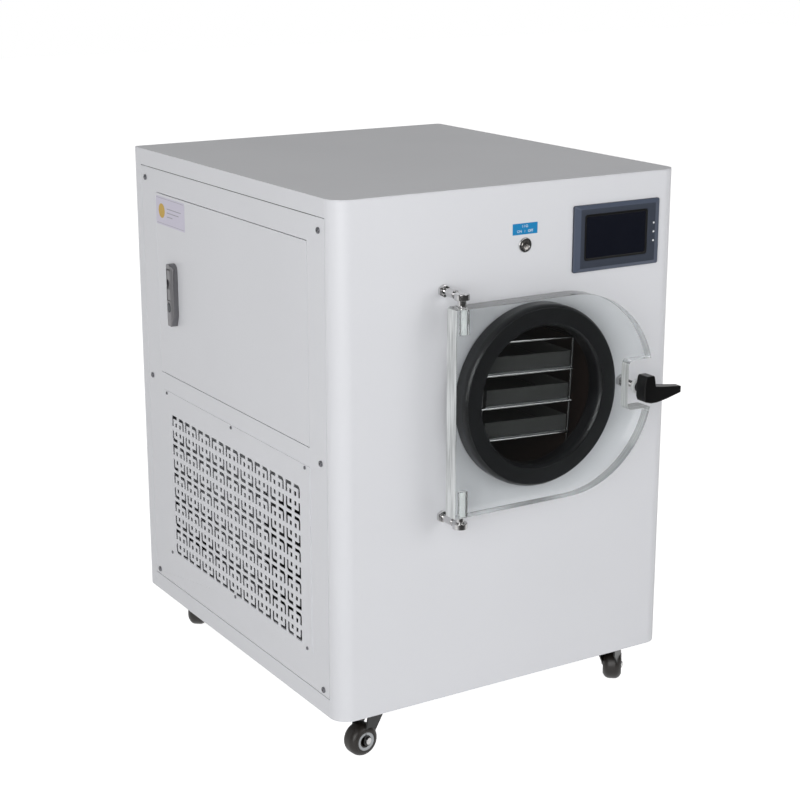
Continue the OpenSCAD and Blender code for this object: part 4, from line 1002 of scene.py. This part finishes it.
def add_thread(bm, at, axis, radius_mm, length_mm, pitch_mm, depth_mm=0.9):
    """A threaded rod from at along axis, its crest at radius and its ends closed."""
    steps, segments = 6, 24
    place = facing(at, axis)
    count = int(length_mm / pitch_mm * steps)
    rings = []
    for level in range(count + 1):
        ring = []
        for i in range(segments):
            phase = (level / steps - i / segments) % 1.0
            radius = radius_mm - depth_mm * abs(2 * phase - 1)
            turn = 2 * math.pi * i / segments
            point = Vector((radius * math.cos(turn), radius * math.sin(turn), level * length_mm / count))
            ring.append(bm.verts.new(place @ (point * MM)))
        rings.append(ring)
    bridge(bm, rings)
    bm.faces.new(rings[0][::-1])
    bm.faces.new(rings[-1])


class FREEZE_DRYER_OT_chamber_door(bpy.types.Operator):
    """Polishes the clear door plate and finishes its bushes, pins, eyes and nuts"""
    bl_idname = "freeze_dryer.chamber_door"
    bl_label = "Chamber door"

    def execute(self, context):
        self.plate()
        soften("hinge_eyes", 0.8, segments=3)
        soften("hinge_pins", 0.5)
        self.bushes()
        hex_nuts("hinge_nuts")
        return {"FINISHED"}

    def plate(self):
        """Clear plate whose faces are polished, with a sawn hinge side and notch and a flame-polished rim."""
        plate = soften("door_plate", 0.6, sharp=30)
        lo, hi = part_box("door_plate")
        edge, bore_zone, bore_depth = lo.x + 2 * MM, lo.x + 34 * MM, 39 * MM
        notch_left, notch_half, clamp_z = hi.x - 50 * MM, 39 * MM, middle("clamp_stud").z
        for name in ("polished_edge", "sawn_edge"):
            plate.data.materials.append(finish(name))
        for face in plate.data.polygons:
            if abs(face.normal.y) > 0.8 or max(abs(face.normal.x), abs(face.normal.z)) < 0.3:
                continue
            spot = face.center
            at_pin = spot.z > hi.z - bore_depth or spot.z < lo.z + bore_depth
            in_bore = at_pin and edge < spot.x < bore_zone and abs(face.normal.z) < 0.5
            in_notch = spot.x > notch_left and abs(spot.z - clamp_z) < notch_half
            sawn = spot.x < edge or in_notch
            face.material_index = 0 if in_bore else 2 if sawn else 1

    def bushes(self):
        """Nylon bushes a hair slimmer than their bores, so that the clear plate shows their skin."""
        clearance, chamfer, rise, collar = 0.12, 0.6, 0.68, 2.25
        bore = (high("hinge_pins").x - low("hinge_pins").x) / 2 / MM - collar
        bm = bmesh.new()
        for lo, hi in solids("hinge_bushes"):
            radius = (hi.x - lo.x) / 2 / MM - clearance
            bottom, top = clearance, (hi.z - lo.z) / MM - clearance
            base = (lo + hi) / 2 - Z_AXIS * (hi.z - lo.z) / 2
            profile = [(bore, bottom), (radius - chamfer, bottom), (radius, bottom + rise),
                       (radius, top - rise), (radius - chamfer, top), (bore, top)]
            add_lathe(bm, profile, base, Z_AXIS, 40, closed=True)
        make_piece("hinge_bushes_form", bm, "nylon", "hinge_bushes", ["hinge_bushes"])


# ---- clamp

class FREEZE_DRYER_OT_clamp(bpy.types.Operator):
    """Cuts the clamp stud's thread and finishes its nuts, washer and knob"""
    bl_idname = "freeze_dryer.clamp"
    bl_label = "Clamp"

    def execute(self, context):
        pitch = context.scene.freeze_dryer_sizes.thread / MM
        lo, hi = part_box("clamp_stud")
        bm = bmesh.new()
        add_thread(bm, moved_middle((lo, hi), hi.y), FRONT, (hi.x - lo.x) / 2 / MM, (hi.y - lo.y) / MM, pitch)
        make_piece("clamp_stud_form", bm, "nickel", "clamp_stud", ["clamp_stud"], sharp=70)
        hex_nuts("clamp_nut")
        self.washer()
        soften("clamp_knob", 1.0, segments=3)
        return {"FINISHED"}

    def washer(self):
        """Domed nylon washer round the stud."""
        lo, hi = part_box("clamp_washer")
        centre = moved_middle((lo, hi), lo.y)
        outer, depth = (hi.x - lo.x) / 2 / MM, (hi.y - lo.y) / MM
        bore = (high("clamp_stud").x - low("clamp_stud").x) / 2 / MM + 0.05
        flat, dome = depth * 0.35, 4
        profile = [(bore, 0), (outer, 0), (outer, flat)]
        profile += [(outer - dome + dome * math.cos(t), flat + (depth - flat) * math.sin(t))
                    for t in (math.radians(15 * i) for i in range(1, 7))]
        bm = bmesh.new()
        add_lathe(bm, profile + [(bore, depth)], centre, Y_AXIS, 48, closed=True)
        make_piece("clamp_washer_form", bm, "nylon", "clamp_washer", ["clamp_washer"])


# ---- rack and trays

class FREEZE_DRYER_OT_rack(bpy.types.Operator):
    """Plates the wire rack and softens the shelf plates and trays"""
    bl_idname = "freeze_dryer.rack"
    bl_label = "Rack and trays"

    def execute(self, context):
        paint("wire_rack")
        soften("shelf_plates", 0.3)
        for number in (1, 2, 3):
            soften(f"tray_{number}", 0.4)
        return {"FINISHED"}


# ---- inner parts

class FREEZE_DRYER_OT_inner_parts(bpy.types.Operator):
    """Finishes the compressor, the condenser, the fan and the electrical plate"""
    bl_idname = "freeze_dryer.inner_parts"
    bl_label = "Inner parts"

    def execute(self, context):
        paint("compressor", "condenser", "fan_shroud", "fan_rotor")
        soften("control_board", 1.0)
        return {"FINISHED"}


class FREEZE_DRYER_OT_rear_services(bpy.types.Operator):
    """Finishes the vacuum flange, the drain spigot and the power inlet"""
    bl_idname = "freeze_dryer.rear_services"
    bl_label = "Rear services"

    def execute(self, context):
        paint("vacuum_port", "drain_spigot")
        soften("power_inlet", 0.5)
        return {"FINISHED"}


# ---- casters

class FREEZE_DRYER_OT_casters(bpy.types.Operator):
    """Presses the caster forks and moulds their wheels in two colours"""
    bl_idname = "freeze_dryer.casters"
    bl_label = "Casters"

    def execute(self, context):
        soften("caster_plates", 0.6)
        for number in (1, 2, 3, 4):
            soften(f"caster_{number}_fork", 0.7)
            soften(f"caster_{number}_axle", 0.6)
            self.wheel(f"caster_{number}")
        return {"FINISHED"}

    def wheel(self, name):
        """Round tyre on a light hub whose face is a raised ring."""
        node = name + "_wheel"
        centre = middle(node)
        axis = self.axle_direction(NODES[name + "_axle"].data, centre)
        radius = (high(node).z - low(node).z) / 2 / MM
        half = self.half_width(NODES[node].data, centre, axis)
        rim, seat, tread = radius * 0.7, radius * 0.32, half * 0.72
        dish = half - 2.2
        profile = [(seat, -dish), (rim, -dish), (rim, -half)]
        profile += arc(radius - tread, tread - half, tread, -90, 0, 8)
        profile += arc(radius - tread, half - tread, tread, 0, 90, 8)
        profile += [(rim, half), (rim, dish), (seat, dish)]
        bm = bmesh.new()
        add_lathe(bm, profile, centre, axis, 64, closed=True)
        make_piece(name + "_tyre", bm, "tyre_rubber", node, [node])
        inner, outer, back, face = seat + 2, rim - 0.4, half - 2.3, half - 0.3
        ring = [(inner, back), (inner, face - 0.6), (inner + 0.8, face), (outer - 0.8, face),
                (outer, face - 0.7), (outer, back)]
        bm = bmesh.new()
        for out in (-1, 1):
            add_lathe(bm, ring, centre, axis * out, 64, closed=True)
        make_piece(name + "_hub", bm, "hub_grey", node, slot="nylon")

    @staticmethod
    def axle_direction(mesh, centre):
        """Level direction in which an axle's points lie furthest from its middle."""
        far = max((v.co - centre for v in mesh.vertices), key=lambda p: p.to_2d().length)
        ends = [v.co - centre for v in mesh.vertices if (v.co - centre).dot(far) > 0.95 * far.dot(far)]
        total = sum(ends, Vector())
        return Vector((total.x, total.y, 0)).normalized()

    @staticmethod
    def half_width(mesh, centre, axis):
        """Half a wheel's width along its axis, in millimetres."""
        return max(abs((v.co - centre).dot(axis)) for v in mesh.vertices) / MM


# ---- stage

def light_area(name, at, target, side, power):
    """A large soft square light that faces a point."""
    data = bpy.data.lights.new(name, "AREA")
    data.shape = "SQUARE"
    data.size = side
    data.energy = power
    lamp = bpy.data.objects.new(name, data)
    lamp.location = at
    lamp.rotation_euler = (target - at).to_track_quat("-Z", "Y").to_euler()
    bpy.context.scene.collection.objects.link(lamp)


class FREEZE_DRYER_OT_stage(bpy.types.Operator):
    """Puts the freeze dryer on a white studio floor with soft light and a camera"""
    bl_idname = "freeze_dryer.stage"
    bl_label = "Stage"

    def execute(self, context):
        stage = context.scene.freeze_dryer_stage
        self.floor(stage)
        self.room(stage)
        target = Vector((0, 0, 0.45))
        key_place, key_side = Vector((-2.7, -2.9, 1.5)), 2.4
        fill_place, fill_side = Vector((1.6, -3.6, 1.8)), 2.0
        light_area("key_light", key_place, target, key_side, stage.key)
        light_area("fill_light", fill_place, target, fill_side, stage.fill)
        camera = bpy.data.objects.new("camera", bpy.data.cameras.new("camera"))
        camera.data.lens = stage.lens
        camera.location = stage.camera_place
        camera.rotation_euler = (math.radians(90) - stage.camera_tilt, 0, -stage.camera_turn)
        context.scene.collection.objects.link(camera)
        context.scene.camera = camera
        context.scene.view_settings.view_transform = "Standard"
        return {"FINISHED"}

    def floor(self, stage):
        """Wide pale floor that shows white and keeps the shadow; mirrors see it dim far in front."""
        bm = bmesh.new()
        bmesh.ops.create_grid(bm, x_segments=1, y_segments=1, size=12)
        floor = solid_object("floor", bm)
        material = bpy.data.materials.new("white_studio_vinyl")
        tree = empty_tree(material)
        place = add_node(tree, "TexCoord").outputs["Object"]
        relief = add_node(tree, "Bump", {"Height": noise(tree, place, 3), "Distance": 0.02 * MM})
        grey = (0.8, 0.8, 0.8, 1)
        vinyl = add_node(tree, "BsdfDiffuse", {"Color": grey, "Normal": relief.outputs[0]})
        glow = add_node(tree, "Emission", {"Color": WHITE, "Strength": stage.floor_glow})
        bright = add_node(tree, "AddShader", {0: vinyl.outputs[0], 1: glow.outputs[0]})
        pale, far, near = 0.9, -1.3, -0.5
        strength = self.fade(tree, place, "Y", stage.dark, pale, far, near)
        mirrored = add_node(tree, "Emission", {"Color": WHITE, "Strength": strength})
        surface = self.sight(tree, vinyl, mirrored, bright)
        add_node(tree, "OutputMaterial", {"Surface": surface})
        floor.data.materials.append(material)

    def room(self, stage):
        """White to the eye, pale behind and dark in front to mirrors, and light under a dim ceiling."""
        world = bpy.data.worlds.new("white_room")
        bpy.context.scene.world = world
        tree = empty_tree(world)
        way = add_node(tree, "TexCoord").outputs["Generated"]
        walls, overhead = 0.1, 0.8
        strength = self.fade(tree, way, "Z", stage.room, stage.ceiling, walls, overhead)
        light = add_node(tree, "Background", {"Color": WHITE, "Strength": strength})
        front, rear = -0.2, 0.4
        strength = self.fade(tree, way, "Y", stage.dark, stage.backdrop, front, rear)
        mirrored = add_node(tree, "Background", {"Color": WHITE, "Strength": strength})
        white = add_node(tree, "Background", {"Color": WHITE})
        surface = self.sight(tree, light, mirrored, white)
        add_node(tree, "OutputWorld", {"Surface": surface})

    @staticmethod
    def sight(tree, lit, mirrored, seen):
        """One surface to the eye, straight or through glass, one to mirrors and one to all other rays."""
        def maths(operation, first, second):
            return add_node(tree, "Math", {0: first, 1: second}, operation=operation).outputs[0]

        path = add_node(tree, "LightPath").outputs
        glass = maths("MULTIPLY", path["Is Transmission Ray"], maths("LESS_THAN", path["Diffuse Depth"], 0.5))
        straight = maths("MULTIPLY", glass, maths("LESS_THAN", path["Glossy Depth"], 0.5))
        eye = maths("MAXIMUM", path["Is Camera Ray"], straight)
        mirror = maths("MAXIMUM", path["Is Glossy Ray"], glass)
        inputs = {0: mirror, 1: lit.outputs[0], 2: mirrored.outputs[0]}
        rest = add_node(tree, "MixShader", inputs)
        inputs = {0: eye, 1: rest.outputs[0], 2: seen.outputs[0]}
        return add_node(tree, "MixShader", inputs).outputs[0]

    @staticmethod
    def fade(tree, vector, axis, first, last, start, end):
        """Runs from first to last as one coordinate goes from start to end."""
        along = add_node(tree, "SeparateXYZ", {0: vector}).outputs[axis]
        inputs = {"Value": along, "From Min": start, "From Max": end, "To Min": first, "To Max": last}
        return add_node(tree, "MapRange", inputs, interpolation_type="SMOOTHSTEP").outputs[0]


# ---- panel

OPERATORS = (
    FREEZE_DRYER_OT_cabinet, FREEZE_DRYER_OT_vents, FREEZE_DRYER_OT_screws,
    FREEZE_DRYER_OT_service_door, FREEZE_DRYER_OT_side_lock, FREEZE_DRYER_OT_controls,
    FREEZE_DRYER_OT_chamber, FREEZE_DRYER_OT_chamber_door, FREEZE_DRYER_OT_clamp, FREEZE_DRYER_OT_rack,
    FREEZE_DRYER_OT_inner_parts, FREEZE_DRYER_OT_rear_services, FREEZE_DRYER_OT_casters,
    FREEZE_DRYER_OT_stage,
)


class FREEZE_DRYER_PT_sidebar(bpy.types.Panel):
    """Lists the settings and the steps that finish the freeze dryer"""
    bl_idname = "FREEZE_DRYER_PT_sidebar"
    bl_label = "Freeze Dryer"
    bl_space_type = "VIEW_3D"
    bl_region_type = "UI"
    bl_category = "Freeze Dryer"

    def draw(self, context):
        for name in SETTINGS:
            group = getattr(context.scene, name)
            box = self.layout.box()
            for prop in group.bl_rna.properties:
                if prop.identifier not in ("rna_type", "name"):
                    box.prop(group, prop.identifier)
        for step in OPERATORS:
            self.layout.operator(step.bl_idname)


SETTINGS = {
    "freeze_dryer_colours": FreezeDryerColours,
    "freeze_dryer_sizes": FreezeDryerSizes,
    "freeze_dryer_stage": FreezeDryerStage,
}


def register():
    for group in SETTINGS.values():
        bpy.utils.register_class(group)
    for step in OPERATORS:
        bpy.utils.register_class(step)
    bpy.utils.register_class(FREEZE_DRYER_PT_sidebar)
    for name, group in SETTINGS.items():
        setattr(bpy.types.Scene, name, PointerProperty(type=group))


def unregister():
    for name in SETTINGS:
        delattr(bpy.types.Scene, name)
    bpy.utils.unregister_class(FREEZE_DRYER_PT_sidebar)
    for step in reversed(OPERATORS):
        bpy.utils.unregister_class(step)
    for group in reversed(list(SETTINGS.values())):
        bpy.utils.unregister_class(group)


def main():
    register()
    steps = bpy.ops.freeze_dryer
    for step in OPERATORS:
        getattr(steps, step.bl_idname.split(".")[1])()
    bpy.context.view_layer.update()


if __name__ == "__main__":
    main()
